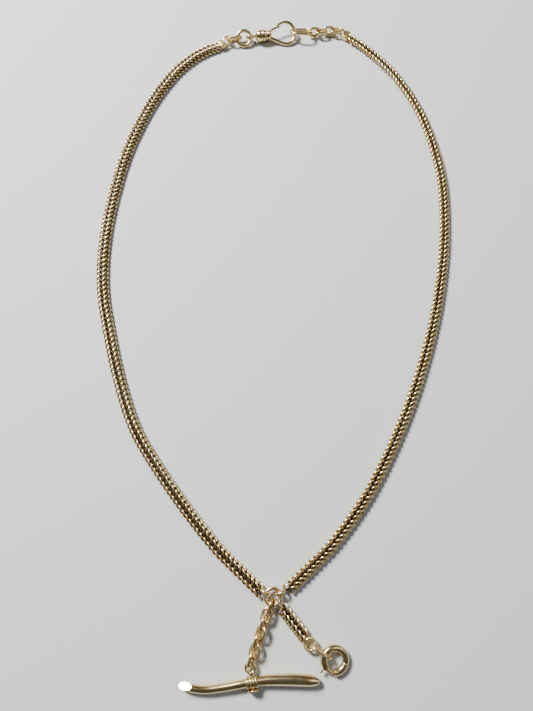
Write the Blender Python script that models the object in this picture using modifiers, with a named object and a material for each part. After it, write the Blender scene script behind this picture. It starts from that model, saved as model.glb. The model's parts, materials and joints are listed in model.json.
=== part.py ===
"""A gold double curb watch chain lying in a loop, fastened by its swivel clasp.

The loop hangs from a clasp at +Y and meets in a centre ring at -Y.  Two short drops leave the
centre ring: one of plain links with a T-bar, one of double curb with a bolt ring.

Units are metres, +Z is up, and the origin is on the table under the middle of the whole chain.
Driving sizes stand at the top, in millimetres times MM.
"""
import math

import bmesh
import bpy
from mathutils import Matrix, Vector

MM = 0.001

# Clearances
WIRE_GAP = 0.14 * MM          # between two links that hang in each other
FACE_GAP = 0.30 * MM          # between pieces that meet end to end
PIN_GAP = 0.08 * MM           # round a pin in its hole
RUN_GAP = 0.15 * MM           # round a part that turns or slides inside another

# Double curb strap of the two strands and of the short drop
STRAP_WIDTH = 3.7 * MM
STRAP_THICKNESS = 2.1 * MM
STRAP_HEIGHT = 1.08 * MM      # of the strap's middle above the table
RUNS_PER_STRAND = 8
POINTS_PER_RUN = 5

# Plain links
LINK_LENGTH = 4.53 * MM
LINK_WIDTH = 3.3 * MM
LINK_WIRE = 0.92 * MM
BAR_LINK_ROLLS = (90.0, 15.0, -60.0, 40.0, -50.0, 25.0, -60.0)     # degrees, one for each link
END_LINK_LENGTH = 4.75 * MM
END_LINK_WIDTH = 3.3 * MM
END_LINK_WIRE = 0.90 * MM

# Rings and larger links
CENTRE_RING_OUTSIDE = 5.3 * MM
CENTRE_RING_WIRE = 1.0 * MM
JUMP_RING_OUTSIDE = 6.1 * MM
JUMP_RING_WIRE = 1.2 * MM
JUMP_RING_TILT = math.radians(30.0)
CLASP_LINK_LENGTH = 8.6 * MM
CLASP_LINK_WIDTH = 6.0 * MM
CLASP_LINK_WIRE = 0.95 * MM
CLASP_LINK_ROLL = math.radians(-29.0)

# T-bar
BAR_EYE_OUTSIDE = 3.2 * MM
BAR_EYE_WIRE = 0.70 * MM
BAR_PIN_RADIUS = 0.42 * MM
BAR_MIDDLE_RADIUS = 1.12 * MM
BAR_EYE_REACH = 3.4 * MM          # from the eye's middle to the bar's middle line
# (along, across, up, radius) of the bar's middle line, from the cut end to the round end
BAR_STATIONS = [
    (-19.2, 2.85, 0.95, 1.04), (-18.3, 2.2, 0.7, 1.04), (-17.3, 1.58, 0.45, 1.02), (-16.0, 0.96, 0.2, 1.0),
    (-14.2, 0.36, 0.0, 1.0), (-12.0, -0.08, -0.1, 1.0), (-9.0, -0.2, -0.1, 1.02), (-6.0, -0.16, -0.05, 1.05),
    (-3.0, -0.03, 0.0, 1.09), (-1.7, 0.0, 0.0, 1.12), (0.0, 0.0, 0.0, 1.12), (1.7, 0.0, 0.0, 1.12),
    (3.5, -0.1, 0.0, 1.22), (6.0, -0.3, 0.0, 1.36), (8.5, -0.58, 0.0, 1.44), (11.0, -0.95, 0.0, 1.48),
    (13.2, -1.35, 0.0, 1.45), (14.8, -1.66, 0.0, 1.38), (16.0, -1.92, 0.0, 1.22), (16.8, -2.1, 0.0, 0.98),
    (17.35, -2.24, 0.0, 0.64), (17.6, -2.3, 0.0, 0.28),
]
BAR_CUT_PLACE = (-17.3 * MM, 1.6 * MM, 0.45 * MM)      # middle of the slanted face on the cut end
BAR_CUT_HEADING = math.radians(112.0)
BAR_CUT_PITCH = math.radians(60.0)                     # how far the cut face looks up
BAR_COLLAR_LENGTH = 3.0 * MM
BAR_COLLAR_WALL = 0.32 * MM
BAR_COLLAR_RIBS = 4
RIVET_RADIUS = 1.45 * MM
RIVET_THICKNESS = 0.5 * MM

# Bolt ring
BOLT_RING_OUTSIDE = 7.8 * MM
BOLT_RING_TUBE = 1.8 * MM
BOLT_RING_WALL = 0.24 * MM
BOLT_RADIUS = 0.50 * MM
BOLT_TRAVEL = math.radians(36.0)

# Swivel clasp
SWIVEL_RADIUS = 1.95 * MM
SWIVEL_LENGTH = 3.7 * MM
SWIVEL_WALL = 0.45 * MM
SWIVEL_EYE_OUTSIDE = 3.2 * MM
SWIVEL_EYE_WIRE = 0.70 * MM
SWIVEL_STEM_RADIUS = 0.42 * MM
SWIVEL_HEAD_RADIUS = 0.85 * MM    # of the head that keeps the eye's stem in the barrel
SWIVEL_HEAD_LENGTH = 0.5 * MM
HOOK_WIRE = 1.15 * MM
HOOK_ROLL = math.radians(26.0)
HOOK_BASE_LENGTH = 2.0 * MM
GATE_PIN_RADIUS = 0.26 * MM

# End caps of the strands
CAP_LENGTH = 2.3 * MM
CAP_WIDTH = 3.1 * MM
CAP_THICKNESS = 2.1 * MM

# Route of each strand's middle on the table, from the centre ring up to its end cap
LEFT_ROUTE = [
    (-5.7, -82.4), (-9.8, -78.7), (-16.9, -72.1), (-25.6, -62.0), (-33.9, -51.1), (-41.6, -39.2),
    (-47.0, -25.4), (-51.2, -10.6), (-54.6, 5.2), (-55.2, 21.7), (-53.4, 38.9), (-49.7, 56.4),
    (-43.2, 73.6), (-36.2, 85.7), (-30.2, 92.4), (-24.6, 96.4), (-20.4, 98.3),
]
RIGHT_ROUTE = [
    (3.95, -81.95), (8.0, -78.3), (16.2, -70.4), (25.7, -58.1), (33.8, -44.0), (41.0, -28.6),
    (47.1, -11.8), (51.9, 6.3), (54.9, 25.8), (55.3, 46.4), (51.2, 67.2), (44.7, 82.1),
    (38.6, 91.0), (31.9, 98.2), (27.2, 102.1),
]

# The plan's own zero lies here, so that the chain's box is centred on the origin
PLAN_SHIFT = (-0.163 * MM, 0.507 * MM, 0.0)

# Places on the table plan, in millimetres
CENTRE_RING_PLACE = (-1.25, -84.6, 1.68)
BAR_HEADING = math.radians(8.0)
SWIVEL_PLACE = (-3.35, 102.2, 2.02)
SWIVEL_HEADING = math.radians(5.0)
JUMP_RING_PLACE = (-11.05, 101.2, 1.88)
BOLT_RING_PLACE = (15.45, -99.75, 1.62)
CLASP_LINK_PLACE = (9.55, 104.0, 1.95)
LEFT_CAP_PLACE = (-19.0, 99.1)
LEFT_CAP_HEADING = math.radians(31.0)
RIGHT_CAP_PLACE = (25.9, 103.0)
RIGHT_CAP_HEADING = math.radians(146.0)

# Where the small pieces hang
TIE_LINK_LENGTH = 3.5 * MM
LEFT_TIE_HEADING = math.radians(151.0)
RIGHT_TIE_HEADING = math.radians(27.0)
BAR_DROP_ANGLE = math.radians(-112.0)      # where the T-bar's links hang on the centre ring
BAR_DROP_HEADING = math.radians(-109.8)
BAR_DROP_PITCH = math.radians(-0.54)
BAR_DROP_SLACK = 0.252 * MM                # spare length at each hook of the row
STRAP_DROP_ANGLE = math.radians(-50.0)     # where the short strap hangs on the centre ring
EYE_HOOK_ANGLE = math.radians(82.3)       # where the last link holds the T-bar's eye

# The short strap's ring and the link that holds the bolt ring
STRAP_DROP_LENGTH = 8.7 * MM
DROP_RING_OUTSIDE = 3.7 * MM
DROP_RING_WIRE = 0.9 * MM
DROP_RING_TILT = math.radians(-14.0)
DROP_RING_HEIGHT = 1.55 * MM
BOLT_LINK_HEADING = math.radians(-30.0)    # of the link between the drop's ring and the bolt ring
BOLT_LINK_LENGTH = 6.5 * MM
BOLT_LINK_WIDTH = 4.1 * MM
BOLT_LINK_HEIGHT = 2.08 * MM

# The bolt ring's angles, all measured round its own middle
BOLT_RING_HEIGHT = 1.50 * MM
BOLT_RING_TILT = math.radians(11.0)        # its link lifts the near side of the bolt ring
BOLT_MOUTH = math.radians(219.0)           # of the case's mouth that the bolt comes out of
BOLT_SOCKET = math.radians(267.0)          # of the end that the bolt closes against
BOLT_TIP = math.radians(271.5)
BOLT_TAIL = math.radians(150.0)
BOLT_KNOB = math.radians(213.5)
BOLT_SPRING_END = math.radians(62.0)
SPRING_WIRE = 0.10 * MM
SPRING_TURNS = 9
KNOB_RADIUS = 0.45 * MM
KNOB_STEM_RADIUS = 0.22 * MM

# The swivel's pear hook and its gate
SWIVEL_EYE_ROLL = math.radians(-62.0)
# (along, across) of the hook wire's middle line, from inside its base round the nose to the tip
HOOK_WIRE_ROUTE = [
    (1.4, -0.75, 0.0), (2.6, -1.3, 0.0), (4.2, -2.05, 0.0), (5.9, -2.8, 0.0), (7.6, -3.2, 0.0), (9.2, -2.75, 0.0),
    (10.25, -1.5, 0.0), (10.65, 0.3, 0.0), (10.2, 2.1, 0.0), (8.9, 3.5, 0.0), (7.2, 3.95, 0.0), (5.7, 3.65, 0.0),
    (4.5, 3.2, 0.0),
]
HOOK_TIP_RADII = [0.54 * MM, 0.50 * MM, 0.44 * MM, 0.40 * MM, 0.36 * MM]
GATE_PIN_PLACE = (1.35 * MM, 1.05 * MM, 0.0)
GATE_PIN_LENGTH = 2.1 * MM
GATE_SLOT_SIZE = (2.0 * MM, 1.7 * MM, 1.0 * MM)
GATE_SLOT_PLACE = (1.75 * MM, 1.3 * MM, 0.0)
GATE_WIDTH = 0.70 * MM
GATE_RADIUS = 0.36 * MM
GATE_KNUCKLE_RADIUS = 0.48 * MM
GATE_LINE = [(1.4, 1.08, 0.0), (2.4, 1.7, 0.0), (3.4, 2.16, 0.0), (4.4, 2.44, 0.0), (5.2, 2.58, 0.0)]
GATE_SPRING_RADIUS = 0.09 * MM
GATE_SPRING_ROUTE = [(2.3, 0.1, 0.0), (2.75, 0.75, 0.0), (3.3, 1.2, 0.0), (4.1, 1.72, 0.0)]

# The end links and the caps' eyes
CLASP_LINK_HEADING = math.radians(-3.0)
END_LINK_ROLLS = (62.0, -20.0, 68.0, -20.0)
LEFT_END_LINK_ROLL = math.radians(-60.0)
LEFT_END_LINK_LENGTH = 6.0 * MM
LEFT_END_LINK_WIDTH = 3.7 * MM
CAP_EYE_OUTSIDE = 3.45 * MM
CAP_EYE_WIRE = 0.75 * MM
CAP_EYE_HEIGHT = 1.68 * MM
LEFT_CAP_EYE_ROLL = math.radians(20.0)
RIGHT_CAP_EYE_ROLL = math.radians(80.0)

DRILL_LENGTH = 8.0 * MM         # long enough to pass right through any fitting
CHAIN_NAME = "watch_chain"
SIDES = 2                     # bevel resolution of every wire
GOLD_COLOURS = {
    "strap": (0.80, 0.62, 0.33),
    "links": (0.83, 0.66, 0.36),
    "fittings": (0.86, 0.72, 0.42),
    "springs": (0.62, 0.62, 0.60),
}


# ----------------------------------------------------------------------------- Blender helpers
def clear_scene():
    """Remove every object of the starting scene."""
    for obj in list(bpy.data.objects):
        bpy.data.objects.remove(obj, do_unlink=True)


def new_collection(name):
    collection = bpy.data.collections.new(name)
    bpy.context.scene.collection.children.link(collection)
    return collection


def gold(name, kind):
    """A polished gold of the given kind, one material for each sub-part."""
    material = bpy.data.materials.new(name)
    material.use_nodes = True
    shader = material.node_tree.nodes["Principled BSDF"]
    shader.inputs["Base Color"].default_value = (*GOLD_COLOURS[kind], 1.0)
    shader.inputs["Metallic"].default_value = 1.0
    shader.inputs["Roughness"].default_value = 0.28
    return material


def add_object(name, data, kind, place=Matrix.Identity(4), parent=None):
    obj = bpy.data.objects.new(name, data)
    parts.objects.link(obj)
    obj.parent = parent or table_frame
    obj.matrix_local = place
    obj.data.materials.append(gold(name, kind))
    return obj


def add_frame(name, place, parent=None):
    """An empty that carries a sub-assembly's own axes."""
    frame = bpy.data.objects.new(name, None)
    parts.objects.link(frame)
    frame.parent = parent or table_frame
    frame.matrix_local = place
    return frame


def placed(place_mm, heading=0.0, roll=0.0, pitch=0.0):
    """A place in millimetres and a turn: X runs along the heading, roll turns about X."""
    turn = Matrix.Rotation(heading, 4, "Z") @ Matrix.Rotation(-pitch, 4, "Y") @ Matrix.Rotation(roll, 4, "X")
    return Matrix.Translation(Vector(place_mm) * MM) @ turn


def moved(x=0.0, y=0.0, z=0.0):
    return Matrix.Translation(Vector((x, y, z)))


def wire_curve(name, points, radius, cyclic=False, radii=None, resolution=SIDES):
    """A round wire along a poly spline, with filled caps where it is open."""
    curve = bpy.data.curves.new(name, "CURVE")
    curve.dimensions = "3D"
    curve.bevel_depth = radius
    curve.bevel_resolution = resolution
    curve.use_fill_caps = not cyclic
    spline = curve.splines.new("POLY")
    spline.points.add(len(points) - 1)
    for index, point in enumerate(points):
        spline.points[index].co = (*point, 1.0)
        if radii is not None:
            spline.points[index].radius = radii[index] / radius
    spline.use_cyclic_u = cyclic
    return curve


def curve_to_mesh(obj):
    """Turn a curve object into a welded mesh object in the same place."""
    graph = bpy.context.evaluated_depsgraph_get()
    name, parent = obj.name, obj.parent
    mesh = bpy.data.meshes.new_from_object(obj.evaluated_get(graph))
    body = bmesh.new()
    body.from_mesh(mesh)
    bmesh.ops.remove_doubles(body, verts=body.verts, dist=0.00001 * MM)
    body.to_mesh(mesh)
    body.free()
    local = obj.matrix_local.copy()
    collections = list(obj.users_collection)
    bpy.data.objects.remove(obj, do_unlink=True)
    solid = bpy.data.objects.new(name, mesh)
    for collection in collections:
        collection.objects.link(solid)
    solid.parent = parent
    solid.matrix_local = local
    return solid


def add_cutter(name, data, place, parent=None):
    cutter = bpy.data.objects.new(name, data)
    cutters.objects.link(cutter)
    if parent is not None:
        cutter.parent = parent
    cutter.matrix_local = place
    cutter.hide_render = True
    cutter.display_type = "WIRE"
    return cutter


def boolean(obj, other, operation):
    modifier = obj.modifiers.new(operation.lower(), "BOOLEAN")
    modifier.operation = operation
    modifier.object = other
    modifier.solver = "EXACT"


def cylinder_mesh(name, radius, length, sides=16):
    """A closed cylinder along Z, centred on its origin."""
    mesh = bpy.data.meshes.new(name)
    body = bmesh.new()
    bmesh.ops.create_cone(body, cap_ends=True, segments=sides, radius1=radius, radius2=radius, depth=length)
    body.to_mesh(mesh)
    body.free()
    mesh.shade_smooth()
    mesh.set_sharp_from_angle(angle=math.radians(40.0))
    return mesh


def box_mesh(name, size):
    mesh = bpy.data.meshes.new(name)
    body = bmesh.new()
    bmesh.ops.create_cube(body, size=1.0)
    bmesh.ops.scale(body, vec=Vector(size), verts=body.verts)
    body.to_mesh(mesh)
    body.free()
    return mesh


def turned_object(name, profile, kind, place, parent=None, closed=False, steps=20):
    """A solid turned about Z from (radius, height) points that run down its outer side."""
    mesh = bpy.data.meshes.new(name)
    count = len(profile)
    vertices = [(radius, 0.0, height) for radius, height in profile]
    edges = [(index, index + 1) for index in range(count - 1)]
    if closed:
        edges.append((count - 1, 0))
    mesh.from_pydata(vertices, edges, [])
    obj = add_object(name, mesh, kind, place, parent)
    screw = obj.modifiers.new("turn", "SCREW")
    screw.axis = "Z"
    screw.steps = steps
    screw.render_steps = steps
    screw.use_merge_vertices = True
    screw.merge_threshold = 0.00001
    screw.use_smooth_shade = True
    return obj


# ----------------------------------------------------------------------------- curves by rule
def circle_points(radius, count, start=0.0, sweep=2.0 * math.pi, closed=True):
    divisions = count if closed else count - 1
    angles = [start + sweep * index / divisions for index in range(count)]
    return [(radius * math.cos(angle), radius * math.sin(angle), 0.0) for angle in angles]


def oval_points(length, width, end_steps=6):
    """The middle line of an oval link: two half rounds joined by straight sides."""
    radius = width / 2
    reach = length / 2 - radius
    points = []
    for side in (1, -1):
        for step in range(end_steps + 1):
            angle = math.pi * step / end_steps - math.pi / 2
            points.append((side * (reach + radius * math.cos(angle)), side * radius * math.sin(angle), 0.0))
    return points


def smooth_route(route, samples=24):
    """Points of a Catmull-Rom curve through the route's own points, in metres."""
    ends = [Vector(route[0]) * 2 - Vector(route[1]), Vector(route[-1]) * 2 - Vector(route[-2])]
    knots = [ends[0], *[Vector(point) for point in route], ends[1]]
    line = []
    for index in range(1, len(knots) - 2):
        a, b, c, d = knots[index - 1:index + 3]
        for step in range(samples):
            t = step / samples
            point = 0.5 * (2 * b + (c - a) * t + (2 * a - 5 * b + 4 * c - d) * t ** 2
                           + (3 * b - a - 3 * c + d) * t ** 3)
            line.append(point * MM)
    line.append(Vector(route[-1]) * MM)
    return line


def along(line, distances):
    """Points of a line at given distances from its start."""
    found = []
    travelled = 0.0
    index = 0
    for distance in distances:
        while index < len(line) - 2 and travelled + (line[index + 1] - line[index]).length < distance:
            travelled += (line[index + 1] - line[index]).length
            index += 1
        step = line[index + 1] - line[index]
        found.append(line[index] + step * ((distance - travelled) / step.length))
    return found


def line_length(line):
    return sum((line[index + 1] - line[index]).length for index in range(len(line) - 1))


# ----------------------------------------------------------------------------- chain pieces
def add_oval_link(name, kind, place, length, width, wire, parent=None, end_steps=6):
    curve = wire_curve(name, oval_points(length - wire, width - wire, end_steps), wire / 2, cyclic=True)
    return add_object(name, curve, kind, place, parent)


def add_ring(name, kind, place, outside, wire, parent=None, count=18):
    curve = wire_curve(name, circle_points((outside - wire) / 2, count), wire / 2, cyclic=True)
    return add_object(name, curve, kind, place, parent)


def add_strand(side, route):
    """One strand of the loop as flattened runs that follow its route."""
    line = smooth_route(route)
    run_length = (line_length(line) + FACE_GAP) / RUNS_PER_STRAND - FACE_GAP
    for number in range(RUNS_PER_STRAND):
        start = number * (run_length + FACE_GAP)
        distances = [start + run_length * step / (POINTS_PER_RUN - 1) for step in range(POINTS_PER_RUN)]
        points = [(point.x, point.y, 0.0) for point in along(line, distances)]
        name = f"{side}_strand_run_{number + 1:02d}"
        flat = Matrix.Diagonal((1.0, 1.0, STRAP_THICKNESS / STRAP_WIDTH, 1.0))
        add_object(name, wire_curve(name, points, STRAP_WIDTH / 2), "strap", moved(z=STRAP_HEIGHT) @ flat)


def hang_links(names, start, end, first_wire, last_wire, length, width, wire, rolls):
    """Plain links in a row, each hooked over the wire before it, from one wire to another.

    start and end are the middles of the two wires that the row hangs between.
    """
    start, end = Vector(start) * MM, Vector(end) * MM
    direction = (end - start).normalized()
    heading = math.atan2(direction.y, direction.x)
    pitch = math.asin(direction.z)
    reach = (end - start).length
    count = len(names)
    first_hook = (first_wire + wire) / 2 + WIRE_GAP
    last_hook = (last_wire + wire) / 2 + WIRE_GAP
    inner_hook = wire + WIRE_GAP
    # The row is as long as its links make it; what is left over is shared between the hooks.
    middle_line = length - wire
    slack = (count * middle_line - first_hook - last_hook - (count - 1) * inner_hook - reach) / (count + 1)
    hook = first_hook + slack
    travelled = -hook
    for index, name in enumerate(names):
        centre = start + direction * (travelled + middle_line / 2)
        turn = (Matrix.Rotation(heading, 4, "Z") @ Matrix.Rotation(-pitch, 4, "Y")
                @ Matrix.Rotation(rolls[index], 4, "X"))
        add_oval_link(name, "links", Matrix.Translation(centre) @ turn, length, width, wire)
        travelled += middle_line - inner_hook - slack


def add_centre():
    """The centre ring and the two links that tie the strands to it."""
    add_ring("centre_ring", "links", placed(CENTRE_RING_PLACE), CENTRE_RING_OUTSIDE, CENTRE_RING_WIRE)
    radius = (CENTRE_RING_OUTSIDE - CENTRE_RING_WIRE) / 2
    hook = (CENTRE_RING_WIRE + LINK_WIRE) / 2 + WIRE_GAP
    length, width = TIE_LINK_LENGTH, LINK_WIDTH
    for name, heading in (("left_lower_link", LEFT_TIE_HEADING), ("right_lower_link", RIGHT_TIE_HEADING)):
        reach = radius - hook + (length - LINK_WIRE) / 2
        centre = Vector(CENTRE_RING_PLACE) + Vector((math.cos(heading), math.sin(heading), 0.0)) * (reach / MM)
        add_oval_link(name, "links", placed(centre, heading, math.radians(90.0)), length, width, LINK_WIRE)


def ring_wire_point(place_mm, outside, wire, angle):
    """Middle of a flat ring's wire at an angle, in millimetres."""
    radius = (outside - wire) / 2 / MM
    x, y, z = place_mm
    return (x + radius * math.cos(angle), y + radius * math.sin(angle), z)


def bar_drop_ends():
    """Where the T-bar's row of links starts and ends, and the middle of its eye, in millimetres."""
    start = Vector(ring_wire_point(CENTRE_RING_PLACE, CENTRE_RING_OUTSIDE, CENTRE_RING_WIRE, BAR_DROP_ANGLE))
    count = len(BAR_LINK_ROLLS)
    hooks = ((CENTRE_RING_WIRE + BAR_EYE_WIRE) / 2 + LINK_WIRE + 2 * WIRE_GAP
             + (count - 1) * (LINK_WIRE + WIRE_GAP) + (count + 1) * BAR_DROP_SLACK)
    reach = (count * (LINK_LENGTH - LINK_WIRE) - hooks) / MM
    flat = math.cos(BAR_DROP_PITCH)
    end = start + reach * Vector((flat * math.cos(BAR_DROP_HEADING), flat * math.sin(BAR_DROP_HEADING),
                                  math.sin(BAR_DROP_PITCH)))
    eye = end - (Vector(ring_wire_point((0.0, 0.0, 0.0), BAR_EYE_OUTSIDE, BAR_EYE_WIRE, EYE_HOOK_ANGLE)))
    return start, end, eye


def add_bar_drop():
    """Seven links from the centre ring to the T-bar's eye, rolled left and right in turn."""
    start, end, _eye = bar_drop_ends()
    names = [f"bar_drop_link_{number}" for number in range(1, len(BAR_LINK_ROLLS) + 1)]
    rolls = [math.radians(roll) for roll in BAR_LINK_ROLLS]
    hang_links(names, start, end, CENTRE_RING_WIRE, BAR_EYE_WIRE, LINK_LENGTH, LINK_WIDTH, LINK_WIRE, rolls)


def add_t_bar():
    """The bar with its ribbed collar, and the eye whose pin is riveted through both."""
    towards_bar = Vector((math.sin(BAR_HEADING), -math.cos(BAR_HEADING), 0.0))
    _start, _end, eye_place = bar_drop_ends()
    bar_centre = eye_place + towards_bar * BAR_EYE_REACH / MM
    frame = add_frame("t_bar_frame", placed(bar_centre, BAR_HEADING))
    points = [(x * MM, y * MM, z * MM) for x, y, z, radius in BAR_STATIONS]
    radii = [radius * MM for x, y, z, radius in BAR_STATIONS]
    bar = add_object("t_bar", wire_curve("t_bar", points, BAR_MIDDLE_RADIUS, radii=radii, resolution=3),
                     "fittings", Matrix.Identity(4), frame)
    bar = curve_to_mesh(bar)
    drill_turn = Matrix.Rotation(math.radians(90.0), 4, "X")
    drill = add_cutter("pin_drill", cylinder_mesh("pin_drill", BAR_PIN_RADIUS + PIN_GAP, DRILL_LENGTH),
                       drill_turn, frame)
    boolean(bar, drill, "DIFFERENCE")
    cut_turn = (Matrix.Translation(BAR_CUT_PLACE) @ Matrix.Rotation(BAR_CUT_HEADING, 4, "Z")
                @ Matrix.Rotation(-BAR_CUT_PITCH, 4, "Y"))
    end_cut = add_cutter("bar_end_cut", box_mesh("bar_end_cut", (DRILL_LENGTH, DRILL_LENGTH, DRILL_LENGTH)),
                         cut_turn @ moved(x=DRILL_LENGTH / 2), frame)
    boolean(bar, end_cut, "DIFFERENCE")

    inside = BAR_MIDDLE_RADIUS + PIN_GAP
    half = BAR_COLLAR_LENGTH / 2
    profile = [(inside, half)]
    pitch = BAR_COLLAR_LENGTH / BAR_COLLAR_RIBS
    for rib in range(BAR_COLLAR_RIBS):
        top = half - rib * pitch
        profile += [(inside + BAR_COLLAR_WALL * 0.45, top), (inside + BAR_COLLAR_WALL, top - pitch * 0.3),
                    (inside + BAR_COLLAR_WALL, top - pitch * 0.7)]
    profile += [(inside + BAR_COLLAR_WALL * 0.45, -half), (inside, -half)]
    collar = turned_object("t_bar_collar", profile, "fittings", Matrix.Rotation(math.radians(90.0), 4, "Y"),
                           frame, closed=True)
    boolean(collar, drill, "DIFFERENCE")

    eye_local = frame.matrix_local.inverted() @ (eye_place * MM)
    eye = add_ring("t_bar_eye", "fittings", Matrix.Translation(eye_local), BAR_EYE_OUTSIDE, BAR_EYE_WIRE, frame)
    eye = curve_to_mesh(eye)
    rivet_face = -(inside + BAR_COLLAR_WALL + PIN_GAP)
    pin_top = eye_local.y - (BAR_EYE_OUTSIDE - BAR_EYE_WIRE) / 2
    pin_length = pin_top - rivet_face + RIVET_THICKNESS / 2
    pin = add_cutter("eye_pin", cylinder_mesh("eye_pin", BAR_PIN_RADIUS, pin_length, 12),
                     moved(y=pin_top - pin_length / 2) @ drill_turn, frame)
    head = add_cutter("eye_rivet", cylinder_mesh("eye_rivet", RIVET_RADIUS, RIVET_THICKNESS),
                      moved(y=rivet_face - RIVET_THICKNESS / 2) @ drill_turn, frame)
    boolean(eye, pin, "UNION")
    boolean(eye, head, "UNION")


def add_strap_drop():
    """The short double curb strap on the centre ring, and the ring on its end."""
    heading = STRAP_DROP_ANGLE
    outward = Vector((math.cos(heading), math.sin(heading), 0.0))
    radius = (CENTRE_RING_OUTSIDE - CENTRE_RING_WIRE) / 2
    hook = (CENTRE_RING_WIRE + LINK_WIRE) / 2 + WIRE_GAP
    middle = Vector(CENTRE_RING_PLACE) * MM
    turn = Matrix.Rotation(heading, 4, "Z") @ Matrix.Rotation(math.radians(90.0), 4, "X")
    link_middle = middle + outward * (radius - hook + (TIE_LINK_LENGTH - LINK_WIRE) / 2)
    add_oval_link("strap_drop_link", "links", Matrix.Translation(link_middle) @ turn,
                  TIE_LINK_LENGTH, LINK_WIDTH, LINK_WIRE)
    near = middle + outward * (radius - hook + TIE_LINK_LENGTH - LINK_WIRE / 2 + FACE_GAP)
    points = [(near + outward * STRAP_DROP_LENGTH * step / 3) for step in range(4)]
    flat = moved(z=STRAP_HEIGHT) @ Matrix.Diagonal((1.0, 1.0, STRAP_THICKNESS / STRAP_WIDTH, 1.0))
    strap = wire_curve("strap_drop", [(point.x, point.y, 0.0) for point in points], STRAP_WIDTH / 2)
    add_object("strap_drop", strap, "strap", flat)
    ring_middle = points[-1] + outward * (FACE_GAP + DROP_RING_OUTSIDE / 2)
    ring_middle.z = DROP_RING_HEIGHT
    add_ring("strap_drop_ring", "links",
             Matrix.Translation(ring_middle) @ Matrix.Rotation(heading, 4, "Z") @ Matrix.Rotation(
                 DROP_RING_TILT, 4, "Y"), DROP_RING_OUTSIDE, DROP_RING_WIRE)
    return ring_middle


def arc_points(radius, start, end, count):
    return circle_points(radius, count, start, end - start, closed=False)


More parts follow.
